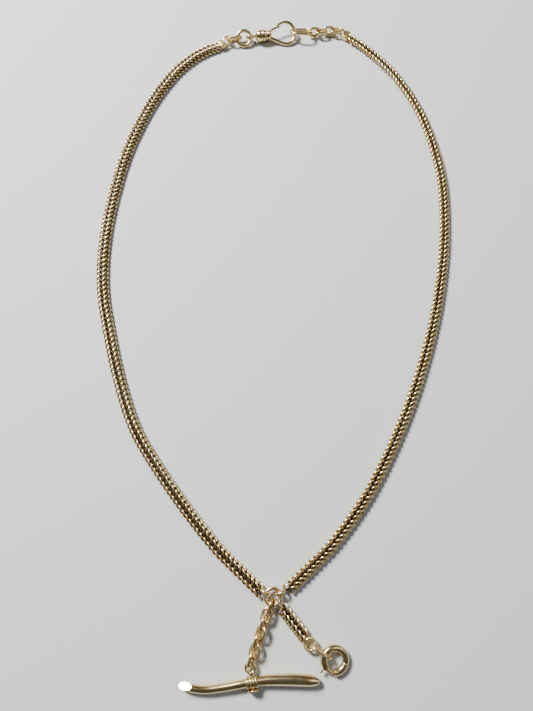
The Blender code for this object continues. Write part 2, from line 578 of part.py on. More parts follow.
def add_bolt_ring(ring_middle):
    """The bolt ring, its link, and the sprung bolt that slides round inside its hollow case."""
    ring_radius = (BOLT_RING_OUTSIDE - BOLT_RING_TUBE) / 2
    tube = BOLT_RING_TUBE / 2
    outward = Vector((math.cos(BOLT_LINK_HEADING), math.sin(BOLT_LINK_HEADING), 0.0))
    ring_hook = (DROP_RING_OUTSIDE - DROP_RING_WIRE) / 2 - (DROP_RING_WIRE + LINK_WIRE) / 2 - WIRE_GAP
    link_middle = ring_middle + outward * (ring_hook + (BOLT_LINK_LENGTH - LINK_WIRE) / 2)
    link_middle.z = BOLT_LINK_HEIGHT
    turn = Matrix.Rotation(BOLT_LINK_HEADING, 4, "Z") @ Matrix.Rotation(math.radians(90.0), 4, "X")
    add_oval_link("bolt_ring_link", "links", Matrix.Translation(link_middle) @ turn,
                  BOLT_LINK_LENGTH, BOLT_LINK_WIDTH, LINK_WIRE)
    far_end = link_middle + outward * (BOLT_LINK_LENGTH - LINK_WIRE) / 2
    centre = far_end + outward * (ring_radius - tube - LINK_WIRE / 2 - WIRE_GAP)
    centre.z = BOLT_RING_HEIGHT
    tilt = (Matrix.Rotation(BOLT_LINK_HEADING, 4, "Z") @ Matrix.Rotation(BOLT_RING_TILT, 4, "Y")
            @ Matrix.Rotation(-BOLT_LINK_HEADING, 4, "Z"))
    frame = add_frame("bolt_ring_frame", Matrix.Translation(centre) @ tilt)

    round_trip = BOLT_MOUTH + 2.0 * math.pi
    case_curve = wire_curve("bolt_ring_case", arc_points(ring_radius, BOLT_SOCKET, round_trip, 30), tube,
                            resolution=3)
    case = curve_to_mesh(add_object("bolt_ring_case", case_curve, "fittings", Matrix.Identity(4), frame))
    channel_start = BOLT_SPRING_END - math.radians(6.0)
    beyond = math.radians(8.0)
    for name, start, end, radius, depth in (
            ("bolt_channel", channel_start, BOLT_MOUTH + beyond, ring_radius, tube - BOLT_RING_WALL),
            ("bolt_socket", BOLT_SOCKET - beyond, BOLT_TIP + math.radians(4.0), ring_radius,
             BOLT_RADIUS + RUN_GAP),
            ("knob_slot", BOLT_KNOB - BOLT_TRAVEL - beyond, BOLT_MOUTH + beyond,
             ring_radius + tube - BOLT_RING_WALL / 2,
             KNOB_STEM_RADIUS + RUN_GAP)):
        curve = wire_curve(name, arc_points(radius, start, end, 20), depth)
        cutter = curve_to_mesh(add_cutter(name, curve, Matrix.Identity(4), frame))
        cutter.hide_render = True
        cutter.display_type = "WIRE"
        boolean(case, cutter, "DIFFERENCE")

    bolt_curve = wire_curve("bolt", arc_points(ring_radius, BOLT_TAIL, BOLT_TIP, 14), BOLT_RADIUS)
    bolt = curve_to_mesh(add_object("bolt", bolt_curve, "fittings", Matrix.Identity(4), frame))
    knob_reach = ring_radius + tube + RUN_GAP + KNOB_RADIUS
    aim = Vector((math.cos(BOLT_KNOB), math.sin(BOLT_KNOB), 0.0))
    stem_turn = Matrix.Rotation(BOLT_KNOB, 4, "Z") @ Matrix.Rotation(math.radians(90.0), 4, "Y")
    stem_length = knob_reach - ring_radius
    stem = add_cutter("knob_stem", cylinder_mesh("knob_stem", KNOB_STEM_RADIUS, stem_length, 10),
                      Matrix.Translation(aim * (ring_radius + stem_length / 2)) @ stem_turn, frame)
    ball_mesh = bpy.data.meshes.new("knob_ball")
    ball = bmesh.new()
    bmesh.ops.create_uvsphere(ball, u_segments=12, v_segments=8, radius=KNOB_RADIUS)
    ball.to_mesh(ball_mesh)
    ball.free()
    knob = add_cutter("knob_ball", ball_mesh, Matrix.Translation(aim * knob_reach), frame)
    boolean(bolt, stem, "UNION")
    boolean(bolt, knob, "UNION")

    coil_radius = tube - BOLT_RING_WALL - SPRING_WIRE / 2 - PIN_GAP
    steps_per_turn = 7
    count = SPRING_TURNS * steps_per_turn
    start, end = BOLT_TAIL - math.radians(3.0), BOLT_SPRING_END
    helix = []
    for index in range(count + 1):
        sweep = start + (end - start) * index / count
        coil = 2.0 * math.pi * index / steps_per_turn
        reach = ring_radius + coil_radius * math.cos(coil)
        helix.append((reach * math.cos(sweep), reach * math.sin(sweep), coil_radius * math.sin(coil)))
    add_object("bolt_spring", wire_curve("bolt_spring", helix, SPRING_WIRE / 2, resolution=0), "springs",
               Matrix.Identity(4), frame)


# ----------------------------------------------------------------------------- swivel clasp
def add_swivel():
    """The swivel clasp: its eye, the barrel that turns on the eye's stem, the hook and its gate."""
    frame = add_frame("swivel_frame", placed(SWIVEL_PLACE, SWIVEL_HEADING))
    rolled = add_frame("hook_frame", Matrix.Rotation(HOOK_ROLL, 4, "X"), frame)
    along_x = Matrix.Rotation(math.radians(90.0), 4, "Y")

    # Barrel profile as (radius, place along the clasp); Z of the turned shape lies along X.
    shoulder = SWIVEL_RADIUS
    mouth = SWIVEL_STEM_RADIUS + RUN_GAP
    hollow = shoulder - SWIVEL_WALL - 0.25 * MM
    left = -SWIVEL_LENGTH
    floor = -0.9 * MM
    barrel_profile = [
        (0.0, 0.0), (shoulder * 0.86, 0.0), (shoulder * 0.95, -0.25 * MM), (shoulder, -0.9 * MM),
        (shoulder, left * 0.48), (shoulder * 0.93, left * 0.70), (shoulder * 0.76, left * 0.87),
        (shoulder * 0.48, left * 0.97), (mouth, left), (mouth, left + SWIVEL_WALL * 1.6),
        (hollow, left * 0.62), (hollow, floor), (0.0, floor),
    ]
    turned_object("swivel_barrel", barrel_profile, "fittings", along_x, frame)

    head_at = left * 0.62 + 0.15 * MM
    eye_middle = left - RUN_GAP - SWIVEL_EYE_OUTSIDE / 2 - 0.1 * MM
    eye = add_ring("swivel_eye", "fittings", moved(x=eye_middle) @ Matrix.Rotation(SWIVEL_EYE_ROLL, 4, "X"),
                   SWIVEL_EYE_OUTSIDE, SWIVEL_EYE_WIRE, frame)
    eye = curve_to_mesh(eye)
    stem_start = eye_middle + (SWIVEL_EYE_OUTSIDE - SWIVEL_EYE_WIRE) / 2
    stem_end = head_at + SWIVEL_HEAD_LENGTH
    stem = add_cutter("eye_stem", cylinder_mesh("eye_stem", SWIVEL_STEM_RADIUS, stem_end - stem_start, 12),
                      moved(x=(stem_end + stem_start) / 2) @ along_x, frame)
    head_mesh = cylinder_mesh("eye_stem_head", SWIVEL_HEAD_RADIUS, SWIVEL_HEAD_LENGTH, 16)
    head = add_cutter("eye_stem_head", head_mesh,
                      moved(x=head_at + SWIVEL_HEAD_LENGTH / 2) @ along_x, frame)
    boolean(eye, stem, "UNION")
    boolean(eye, head, "UNION")

    # Hook base: ribs and a bead, then the wire bent round the pear to its tip.
    base_start = FACE_GAP * 0.5
    length = HOOK_BASE_LENGTH
    base_profile = [
        (0.0, base_start + length), (1.15 * MM, base_start + length), (1.5 * MM, base_start + length * 0.85),
        (1.62 * MM, base_start + length * 0.6), (1.3 * MM, base_start + length * 0.42),
        (1.66 * MM, base_start + length * 0.3), (1.66 * MM, base_start + length * 0.1),
        (1.4 * MM, base_start), (0.0, base_start),
    ]
    hook = turned_object("swivel_hook", base_profile, "fittings", along_x, rolled)
    wire_line = smooth_route(HOOK_WIRE_ROUTE, samples=3)
    taper = [HOOK_WIRE / 2] * (len(wire_line) - len(HOOK_TIP_RADII)) + HOOK_TIP_RADII
    wire = wire_curve("hook_wire", wire_line, HOOK_WIRE / 2, radii=taper)
    wire = curve_to_mesh(add_cutter("hook_wire", wire, Matrix.Identity(4), rolled))
    wire.hide_render = True
    wire.display_type = "WIRE"
    boolean(hook, wire, "UNION")
    slot = add_cutter("gate_slot", box_mesh("gate_slot", GATE_SLOT_SIZE), moved(*GATE_SLOT_PLACE), rolled)
    boolean(hook, slot, "DIFFERENCE")
    pin_hole = add_cutter("gate_pin_hole", cylinder_mesh("gate_pin_hole", GATE_PIN_RADIUS + PIN_GAP, DRILL_LENGTH),
                          moved(*GATE_PIN_PLACE), rolled)
    boolean(hook, pin_hole, "DIFFERENCE")
    add_object("gate_pin", cylinder_mesh("gate_pin", GATE_PIN_RADIUS, GATE_PIN_LENGTH, 12), "fittings",
               moved(*GATE_PIN_PLACE), rolled)

    # Gate: a flat tongue from its knuckle on the pin to a nose under the hook's tip.
    gate_line = [Vector(point) * MM for point in GATE_LINE]
    gate_curve = wire_curve("swivel_gate", gate_line, GATE_RADIUS)
    gate = curve_to_mesh(add_object("swivel_gate", gate_curve, "fittings", Matrix.Identity(4), rolled))
    knuckle = add_cutter("gate_knuckle", cylinder_mesh("gate_knuckle", GATE_KNUCKLE_RADIUS, GATE_WIDTH),
                         moved(*GATE_PIN_PLACE), rolled)
    boolean(gate, knuckle, "UNION")
    boolean(gate, pin_hole, "DIFFERENCE")
    spring_line = smooth_route(GATE_SPRING_ROUTE, samples=3)
    spring_wire = wire_curve("gate_spring", spring_line, GATE_SPRING_RADIUS, resolution=0)
    add_object("gate_spring", spring_wire, "springs", Matrix.Identity(4), rolled)



def add_clasp_end():
    """The jump ring on the left, and on the right the clasp link and its small links."""
    add_ring("jump_ring", "fittings", placed(JUMP_RING_PLACE, roll=JUMP_RING_TILT), JUMP_RING_OUTSIDE,
             JUMP_RING_WIRE, count=22)
    add_oval_link("clasp_link", "links", placed(CLASP_LINK_PLACE, CLASP_LINK_HEADING, CLASP_LINK_ROLL),
                  CLASP_LINK_LENGTH, CLASP_LINK_WIDTH, CLASP_LINK_WIRE)
    reach = (CLASP_LINK_LENGTH - CLASP_LINK_WIRE) / 2 / MM
    place = Vector(CLASP_LINK_PLACE)
    start = place + Vector((math.cos(CLASP_LINK_HEADING), math.sin(CLASP_LINK_HEADING), 0.0)) * reach
    right_eye = cap_eye_place(RIGHT_CAP_PLACE, RIGHT_CAP_HEADING)
    names = [f"right_end_link_{number}" for number in range(1, 5)]
    hang_links(names, start, right_eye, CLASP_LINK_WIRE, CAP_EYE_WIRE, END_LINK_LENGTH, END_LINK_WIDTH,
               END_LINK_WIRE, [math.radians(roll) for roll in END_LINK_ROLLS])
    left_eye = cap_eye_place(LEFT_CAP_PLACE, LEFT_CAP_HEADING)
    jump = Vector(JUMP_RING_PLACE) - Vector(((JUMP_RING_OUTSIDE - JUMP_RING_WIRE) / 2 / MM, 0.0, 0.0))
    hang_links(["left_end_link"], left_eye, jump, CAP_EYE_WIRE, JUMP_RING_WIRE, LEFT_END_LINK_LENGTH,
               LEFT_END_LINK_WIDTH, END_LINK_WIRE, [LEFT_END_LINK_ROLL])


def cap_eye_place(cap_place, heading):
    """Middle of the outer wire of a cap's eye, in millimetres."""
    reach = (CAP_LENGTH / 2 + CAP_EYE_OUTSIDE - 1.5 * CAP_EYE_WIRE) / MM
    return Vector((cap_place[0] + reach * math.cos(heading), cap_place[1] + reach * math.sin(heading),
                   CAP_EYE_HEIGHT / MM))


def add_end_cap(name, place, heading, eye_roll):
    """A flat ferrule on the end of a strand, with the eye that its end link hangs in."""
    frame = add_frame(f"{name}_frame", placed((place[0], place[1], CAP_THICKNESS / 2 / MM + 0.02), heading))
    cap = add_object(name, box_mesh(name, (CAP_LENGTH, CAP_WIDTH, CAP_THICKNESS)), "fittings",
                     Matrix.Identity(4), frame)
    bevel = cap.modifiers.new("round", "BEVEL")
    bevel.width = 0.45 * MM
    bevel.segments = 2
    middle = CAP_LENGTH / 2 + CAP_EYE_OUTSIDE / 2 - CAP_EYE_WIRE
    lift = CAP_EYE_HEIGHT - (CAP_THICKNESS / 2 + 0.02 * MM)
    curve = wire_curve(f"{name}_eye", circle_points((CAP_EYE_OUTSIDE - CAP_EYE_WIRE) / 2, 14), CAP_EYE_WIRE / 2,
                       cyclic=True)
    eye = curve_to_mesh(add_cutter(f"{name}_eye", curve,
                                    moved(x=middle, z=lift) @ Matrix.Rotation(eye_roll, 4, "X"), frame))
    eye.hide_render = True
    eye.display_type = "WIRE"
    boolean(cap, eye, "UNION")


parts = None
cutters = None
table_frame = None


def build():
    global parts, cutters, table_frame
    clear_scene()
    parts = new_collection(CHAIN_NAME)
    cutters = new_collection("cutters")
    table_frame = add_frame("table_frame", moved(*PLAN_SHIFT))
    add_strand("left", LEFT_ROUTE)
    add_strand("right", RIGHT_ROUTE)
    add_centre()
    add_bar_drop()
    add_t_bar()
    add_bolt_ring(add_strap_drop())
    add_swivel()
    add_end_cap("left_end_cap", LEFT_CAP_PLACE, LEFT_CAP_HEADING, LEFT_CAP_EYE_ROLL)
    add_end_cap("right_end_cap", RIGHT_CAP_PLACE, RIGHT_CAP_HEADING, RIGHT_CAP_EYE_ROLL)
    add_clasp_end()


build()
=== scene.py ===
"""Pocket watch chain: two double curb strands, a swivel clasp, a toggle bar and a bolt ring.

Every surface is worked out with numpy as a tube along a line, a turned profile or a grid, and takes its
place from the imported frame: from a node's own axes, from a joint's pivot and axis, or from the strands'
routes.
Lengths are in metres, and MM turns millimetres into them.
"""
from __future__ import annotations

import json
import logging
import math
from dataclasses import dataclass, field
from enum import Enum

import bpy
import numpy as np
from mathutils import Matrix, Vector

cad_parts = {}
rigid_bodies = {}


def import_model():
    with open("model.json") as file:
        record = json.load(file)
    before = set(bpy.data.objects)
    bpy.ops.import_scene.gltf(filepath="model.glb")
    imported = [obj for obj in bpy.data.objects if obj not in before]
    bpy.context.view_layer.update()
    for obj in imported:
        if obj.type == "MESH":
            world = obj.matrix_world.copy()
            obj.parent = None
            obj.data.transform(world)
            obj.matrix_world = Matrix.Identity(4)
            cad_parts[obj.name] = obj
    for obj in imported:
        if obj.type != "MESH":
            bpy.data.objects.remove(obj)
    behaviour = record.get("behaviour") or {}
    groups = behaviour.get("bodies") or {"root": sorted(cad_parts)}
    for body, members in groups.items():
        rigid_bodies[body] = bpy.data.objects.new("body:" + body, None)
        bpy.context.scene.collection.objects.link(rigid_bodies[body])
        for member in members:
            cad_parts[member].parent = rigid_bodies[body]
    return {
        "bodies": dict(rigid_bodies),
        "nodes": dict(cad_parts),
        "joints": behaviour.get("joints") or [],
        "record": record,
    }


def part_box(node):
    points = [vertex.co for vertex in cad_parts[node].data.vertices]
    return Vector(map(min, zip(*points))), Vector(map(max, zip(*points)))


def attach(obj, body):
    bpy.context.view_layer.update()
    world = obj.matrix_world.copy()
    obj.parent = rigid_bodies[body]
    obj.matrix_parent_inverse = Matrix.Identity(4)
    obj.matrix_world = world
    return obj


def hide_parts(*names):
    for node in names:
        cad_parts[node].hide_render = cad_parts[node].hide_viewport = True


MM = 0.001
FULL_TURN = 2.0 * math.pi
UP = np.array([0.0, 0.0, 1.0])
Array = np.ndarray
log = logging.getLogger("watch_chain")


class End(Enum):
    """How an open tube ends."""

    OPEN = "open"
    FLAT = "flat"
    ROUND = "round"


# ------------------------------------------------------------------------------------------- vectors
def unit(vectors: Array) -> Array:
    """Vectors divided by their own lengths."""
    return vectors / np.linalg.norm(vectors, axis=-1, keepdims=True)


def smooth_line(knots: Array, samples: int) -> Array:
    """A Catmull-Rom curve through knots of any number of columns.

    Each span is the cubic 0.5 (2b + (c - a)t + (2a - 5b + 4c - d)t^2 + (3b - a - 3c + d)t^3) of the four
    knots round it, with the end knots mirrored outwards.

    Args:
        knots: (n, columns) points.
        samples: Points in each span.

    Returns:
        ((n - 1) * samples + 1, columns) points, the last knot included.
    """
    knots = np.asarray(knots, float)
    padded = np.vstack([2 * knots[0] - knots[1], knots, 2 * knots[-1] - knots[-2]])
    a, b, c, d = (padded[i:len(padded) - 3 + i, None, :] for i in range(4))
    t = (np.arange(samples) / samples)[None, :, None]
    curve = 0.5 * (2 * b + (c - a) * t + (2 * a - 5 * b + 4 * c - d) * t ** 2
                   + (3 * b - a - 3 * c + d) * t ** 3)
    return np.vstack([curve.reshape(-1, knots.shape[1]), knots[-1:]])


def rounded(corners: Array, radius: float, steps: int = 4) -> Array:
    """A profile with its inner corners rounded.

    Each corner becomes a quadratic curve that starts and ends at radius from the corner, or at 0.45 of the
    side's length where that is shorter.

    Args:
        corners: (n, 2) profile points.
        radius: Reach of each round, in metres.
        steps: Points in each round.

    Returns:
        (m, 2) profile points, the two ends unchanged.
    """
    corners = np.asarray(corners, float)
    middle, before, after = corners[1:-1], corners[:-2], corners[2:]
    to_before, to_after = before - middle, after - middle
    reach_before = np.minimum(radius, 0.45 * np.linalg.norm(to_before, axis=1))[:, None]
    reach_after = np.minimum(radius, 0.45 * np.linalg.norm(to_after, axis=1))[:, None]
    start = (middle + unit(to_before) * reach_before)[:, None, :]
    end = (middle + unit(to_after) * reach_after)[:, None, :]
    t = np.linspace(0.0, 1.0, steps)[None, :, None]
    curve = (1 - t) ** 2 * start + 2 * t * (1 - t) * middle[:, None, :] + t ** 2 * end
    return np.vstack([corners[:1], curve.reshape(-1, 2), corners[-1:]])


def turn_about(axis: Array, angle: float) -> Array:
    """A 3 by 3 turn about a unit axis, by Rodrigues' formula, for points held in rows.

    Args:
        axis: Unit vector.
        angle: Radians, by the right-hand rule.

    Returns:
        A matrix to put on the right of (n, 3) points.
    """
    x, y, z = axis
    skew = np.array([[0.0, -z, y], [z, 0.0, -x], [-y, x, 0.0]])
    return (np.eye(3) + math.sin(angle) * skew + (1.0 - math.cos(angle)) * skew @ skew).T


# ------------------------------------------------------------------------------------------- places
@dataclass
class Seat:
    """A place and three axes in the row frame.

    Attributes:
        centre: The middle of the piece.
        axes: Its x, y and z as rows.
    """

    centre: Array
    axes: Array

    def place(self, points: Array) -> Array:
        """Points of the piece's own axes, in the row frame."""
        return self.centre + points @ self.axes

    def rolled(self, angle: float) -> "Seat":
        """The same seat turned about its own x."""
        cos, sin = math.cos(angle), math.sin(angle)
        x, y, z = self.axes
        return Seat(self.centre, np.stack([x, cos * y + sin * z, cos * z - sin * y]))


@dataclass
class Frame:
    """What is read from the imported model.

    Attributes:
    """

    packed: dict

    def joint(self, name: str) -> tuple[Array, Array]:
        """A joint's pivot and unit axis."""
        found = next(joint for joint in self.packed["joints"] if joint["name"] == name)
        return np.array(found["pos_m"], float), unit(np.array(found["axis"], float))

    def mount(self, name: str) -> Array:
        """A mount's point."""
        found = next(mount for mount in self.packed["record"]["mounts"] if mount["name"] == name)
        return np.array(found["pos_m"], float)

    def link_seat(self, node: str) -> tuple[Seat, Array]:
        """Seat and outside sizes of a link or ring, from the spread of its node's own points.

        The axes are the eigenvectors of the points' covariance: x along the longest spread, z along the
        shortest, turned to point upwards and to the right.

        Args:
            node: Name of the CAD node.

        Returns:
            The seat, and the node's length, width and thickness.
        """
        mesh = self.packed["nodes"][node].data
        flat = np.empty(len(mesh.vertices) * 3)
        mesh.vertices.foreach_get("co", flat)
        points = np.unique(flat.reshape(-1, 3).round(7), axis=0)
        spread = np.linalg.eigh(np.cov(points.T))[1].T[::-1]
        x = spread[0] * (1.0 if spread[0] @ np.array([1.0, -0.2, 0.1]) > 0 else -1.0)
        z = spread[2] * (1.0 if spread[2] @ np.array([0.05, 0.1, 1.0]) > 0 else -1.0)
        axes = np.stack([x, np.cross(z, x), z])
        local = points @ axes.T
        low, high = local.min(axis=0), local.max(axis=0)
        return Seat(((low + high) / 2) @ axes, axes), high - low


# ------------------------------------------------------------------------------------------- surfaces
@dataclass
class Surface:
    """Points and faces of one piece, made of one or more closed shells.

    Attributes:
        points: (n, 3) in the row frame or in a piece's own axes.
        quads: (m, 4) point numbers.
        triangles: (k, 3) point numbers.
        hollow: (n,) from 0 where the metal is open to 1 deep in a hollow, where the materials paint shade and
            some soiling.
    """

    points: Array
    quads: Array
    triangles: Array = field(default_factory=lambda: np.empty((0, 3), int))
    hollow: Array | None = None

    def __post_init__(self) -> None:
        """Fills in a hollow value of nought."""
        if self.hollow is None:
            self.hollow = np.zeros(len(self.points))

    def placed(self, seat: Seat) -> "Surface":
        """The same surface put in a seat."""
        return Surface(seat.place(self.points), self.quads, self.triangles, self.hollow)

    def shaded_and_soiled(self, hollow: Array) -> "Surface":
        """The same surface with new hollow values, held from 0 to 1, which set its painted shade and soiling.
        """
        return Surface(self.points, self.quads, self.triangles, np.clip(hollow, 0.0, 1.0))

    def facing(self, middle: Array, reach: float) -> "Surface":
        """Hollow values that rise towards a middle point, for painted shade on the inner side of a ring or
        link, with some soiling.

        The value is 1 at the middle and falls evenly to 0 at reach from it.

        Args:
            middle: The point that the hollow lies round.
            reach: Distance at which the metal is open, in metres.

        Returns:
            The same surface with those values.
        """
        distance = np.linalg.norm(self.points - middle, axis=1)
        return self.shaded_and_soiled(1.0 - distance / reach)

    @staticmethod
    def joined(parts: list["Surface"]) -> "Surface":
        """Several surfaces as one, each kept closed by itself."""
        starts = np.cumsum([0] + [len(part.points) for part in parts[:-1]])
        return Surface(
            np.vstack([part.points for part in parts]),
            np.vstack([part.quads + start for part, start in zip(parts, starts)]),
            np.vstack([part.triangles + start for part, start in zip(parts, starts)]),
            np.concatenate([part.hollow for part in parts]))

    def to_object(self, name: str) -> bpy.types.Object:
        """A Blender object of this surface, smooth all over.

        Args:
            name: Name of the object and of its mesh.

        Returns:
            The object, at the origin, with the hollow values as a point attribute.
        """
        mesh = bpy.data.meshes.new(name)
        mesh.vertices.add(len(self.points))
        mesh.vertices.foreach_set("co", self.points.astype(np.float32).ravel())
        corners = np.concatenate([self.quads.ravel(), self.triangles.ravel()])
        totals = np.concatenate([np.full(len(self.quads), 4), np.full(len(self.triangles), 3)])
        starts = np.concatenate([[0], np.cumsum(totals)[:-1]])
        mesh.loops.add(len(corners))
        mesh.loops.foreach_set("vertex_index", corners.astype(np.int32))
        mesh.polygons.add(len(totals))
        mesh.polygons.foreach_set("loop_start", starts.astype(np.int32))
        mesh.polygons.foreach_set("loop_total", totals.astype(np.int32))
        mesh.polygons.foreach_set("use_smooth", np.ones(len(totals), bool))
        mesh.update(calc_edges=True)
        mesh.validate()
        attribute = mesh.attributes.new("hollow", "FLOAT", "POINT")
        attribute.data.foreach_set("value", self.hollow.astype(np.float32))
        obj = bpy.data.objects.new(name, mesh)
        bpy.context.scene.collection.objects.link(obj)
        return obj


def grid_quads(rows: int, columns: int, closed_rows: bool, closed_columns: bool = True) -> Array:
    """Point numbers of the faces between neighbouring rows and columns of a grid.

    Args:
        rows: Stations along the line.
        columns: Points round each station.
        closed_rows: Whether the last row joins the first.
        closed_columns: Whether the last column joins the first.

    Returns:
        (m, 4) point numbers, wound so that they face outwards.
    """
    numbers = np.arange(rows * columns).reshape(rows, columns)
    last_row = rows if closed_rows else rows - 1
    last_column = columns if closed_columns else columns - 1
    row = np.arange(last_row)[:, None]
    column = np.arange(last_column)[None, :]
    next_row, next_column = (row + 1) % rows, (column + 1) % columns
    quads = np.stack([numbers[row, column], numbers[row, next_column],
                      numbers[next_row, next_column], numbers[next_row, column]], axis=-1)
    return quads.reshape(-1, 4)


def end_stations(end: End, point: Array, outward: Array, radius: float) -> tuple[Array, Array]:
    """Stations that finish the end of an open tube.

    A round end follows a quarter circle, flattened to 0.9 of the radius. A flat end is a plane with a rim
    rounded by a tenth of the radius.

    Args:
        end: Which end it is.
        point: The line's last point.
        outward: Unit vector along the line, out of the tube.
        radius: The tube's radius there.

    Returns:
        The new points and radii, from the tube outwards.
    """
    if end is End.ROUND:
        angle = np.linspace(0.0, math.pi / 2, 9)[1:]
        offsets, radii = 0.9 * radius * np.sin(angle), radius * np.cos(angle)
    else:
        rim = 0.12 * radius
        angle = np.linspace(0.0, math.pi / 2, 4)[1:]
        offsets = np.append(rim * np.sin(angle), [rim, rim])
        radii = np.append(radius - rim * (1.0 - np.cos(angle)), [0.5 * radius, 0.0])
    radii[-1] = max(radii[-1], 1e-3 * radius)
    return point + offsets[:, None] * outward, radii


def tube(line: Array, radii: Array | float, guide: Array, closed: bool = False, sides: int = 16,
         ends: tuple[End, End] = (End.ROUND, End.ROUND), flat: float = 1.0) -> Surface:
    """A round tube along a line.

    At each station the circle stands across the tangent T, on the two directions S = guide x T and T x S, so
    that point(u, v) = line(u) + r(u) (cos v S + flat sin v (T x S)).

    Args:
        line: (n, 3) middle line.
        radii: One radius, or one for each station.
        guide: A direction, or one for each station, that is never along the line.
        closed: Whether the line joins itself.
        sides: Points round the tube.
        ends: How an open tube starts and ends.
        flat: Height of the section as a share of its width.

    Returns:
        The closed surface, or an open one where both ends are OPEN.
    """
    line = np.asarray(line, float)
    radii = np.broadcast_to(np.asarray(radii, float), (len(line),)).copy()
    guide = np.broadcast_to(np.asarray(guide, float), line.shape)
    if closed:
        tangent = unit(np.roll(line, -1, axis=0) - np.roll(line, 1, axis=0))
    else:
        tangent = unit(np.gradient(line, axis=0))
        pieces = [(line, radii, tangent, guide)]
        for which, end in enumerate(ends):
            if end is End.OPEN:
                continue
            at = 0 if which == 0 else -1
            outward = tangent[at] * (-1.0 if which == 0 else 1.0)
            points, sizes = end_stations(end, line[at], outward, radii[at])
            extra = (points, sizes, np.repeat(tangent[at][None], len(points), 0),
                     np.repeat(guide[at][None], len(points), 0))
            if which == 0:
                pieces.insert(0, tuple(part[::-1] for part in extra))
            else:
                pieces.append(extra)
        line, radii, tangent, guide = (np.concatenate([piece[i] for piece in pieces]) for i in range(4))
    side = unit(np.cross(guide, tangent))
    rise = np.cross(tangent, side)
    angle = FULL_TURN * np.arange(sides) / sides
    ring = (np.cos(angle)[None, :, None] * side[:, None, :]
            + flat * np.sin(angle)[None, :, None] * rise[:, None, :])
    points = line[:, None, :] + radii[:, None, None] * ring
    quads = grid_quads(len(line), sides, closed)
    points = points.reshape(-1, 3)
    if closed or ends == (End.OPEN, End.OPEN):
        return Surface(points, quads)
    first, last = len(points), len(points) + 1
    column = np.arange(sides)
    start_fan = np.stack([np.full(sides, first), (column + 1) % sides, column], axis=1)
    base = (len(line) - 1) * sides
    end_fan = np.stack([np.full(sides, last), base + column, base + (column + 1) % sides], axis=1)
    return Surface(np.vstack([points, line[:1], line[-1:]]), quads, np.vstack([start_fan, end_fan]))


def turned(profile: Array, sides: int = 40, closed: bool = False) -> Surface:
    """A profile turned about the x axis: point(u, v) = (along(u), r(u) cos v, r(u) sin v).

    Args:
        profile: (n, 2) radius and place along x, running so that the solid lies on its left.
        sides: Points round the turn.
        closed: Whether the profile joins itself, as for a sleeve.

    Returns:
        The closed surface, in the piece's own axes.
    """
    profile = np.asarray(profile, float)
    inner = profile if closed else profile[1:-1]
    angle = FULL_TURN * np.arange(sides) / sides
    points = np.stack([np.broadcast_to(inner[:, None, 1], (len(inner), sides)),
                       inner[:, None, 0] * np.cos(angle), inner[:, None, 0] * np.sin(angle)], axis=-1)
    quads = grid_quads(len(inner), sides, closed)[:, ::-1]
    if closed:
        return Surface(points.reshape(-1, 3), quads)
    poles = np.array([[profile[0, 1], 0.0, 0.0], [profile[-1, 1], 0.0, 0.0]])
    column = np.arange(sides)
    count = len(inner) * sides
    base = count - sides
    start_fan = np.stack([np.full(sides, count), column, (column + 1) % sides], axis=1)
    end_fan = np.stack([np.full(sides, count + 1), base + (column + 1) % sides, base + column], axis=1)
    return Surface(np.vstack([points.reshape(-1, 3), poles]), quads, np.vstack([start_fan, end_fan]))


def pillow(size: tuple[float, float, float], power: float, rows: int = 24, columns: int = 40) -> Surface:
    """A rounded box by the superellipsoid formula.

    With p = 2 / power, a point is (a c(u), b s(u) c(v), h s(u) s(v)) where c and s are the cosine and sine
    raised to p with their signs kept.

    Args:
        size: Full length, width and height.
        power: 2 for an ellipsoid; larger for a squarer box.
        rows: Stations along x.
        columns: Points round x.

    Returns:
        The closed surface, in the piece's own axes.
    """
    def powered(values: Array) -> Array:
        """Each value to the power 2 / power, with its sign kept."""
        return np.sign(values) * np.abs(values) ** (2.0 / power)

    u = np.linspace(0.0, math.pi, rows + 2)[1:-1, None]
    v = FULL_TURN * np.arange(columns)[None, :] / columns
    half = np.array(size) / 2
    points = np.stack([half[0] * powered(np.cos(u)) * np.ones_like(v),
                       half[1] * powered(np.sin(u)) * powered(np.cos(v)),
                       half[2] * powered(np.sin(u)) * powered(np.sin(v))], axis=-1)
    quads = grid_quads(rows, columns, False)[:, ::-1]
    column = np.arange(columns)
    count = rows * columns
    base = count - columns
    start_fan = np.stack([np.full(columns, count), column, (column + 1) % columns], axis=1)
    end_fan = np.stack([np.full(columns, count + 1), base + (column + 1) % columns, base + column], axis=1)
    poles = np.array([[half[0], 0.0, 0.0], [-half[0], 0.0, 0.0]])
    return Surface(np.vstack([points.reshape(-1, 3), poles]), quads, np.vstack([start_fan, end_fan]))


def ring_line(radius: float, count: int = 72) -> Array:
    """A circle in the x, y plane."""
    angle = FULL_TURN * np.arange(count) / count
    return np.stack([radius * np.cos(angle), radius * np.sin(angle), np.zeros(count)], axis=1)


def arc_line(radius: float, start: float, end: float, count: int) -> Array:
    """An arc in the x, y plane, from one angle to another."""
    angle = np.linspace(start, end, count)
    return np.stack([radius * np.cos(angle), radius * np.sin(angle), np.zeros(count)], axis=1)


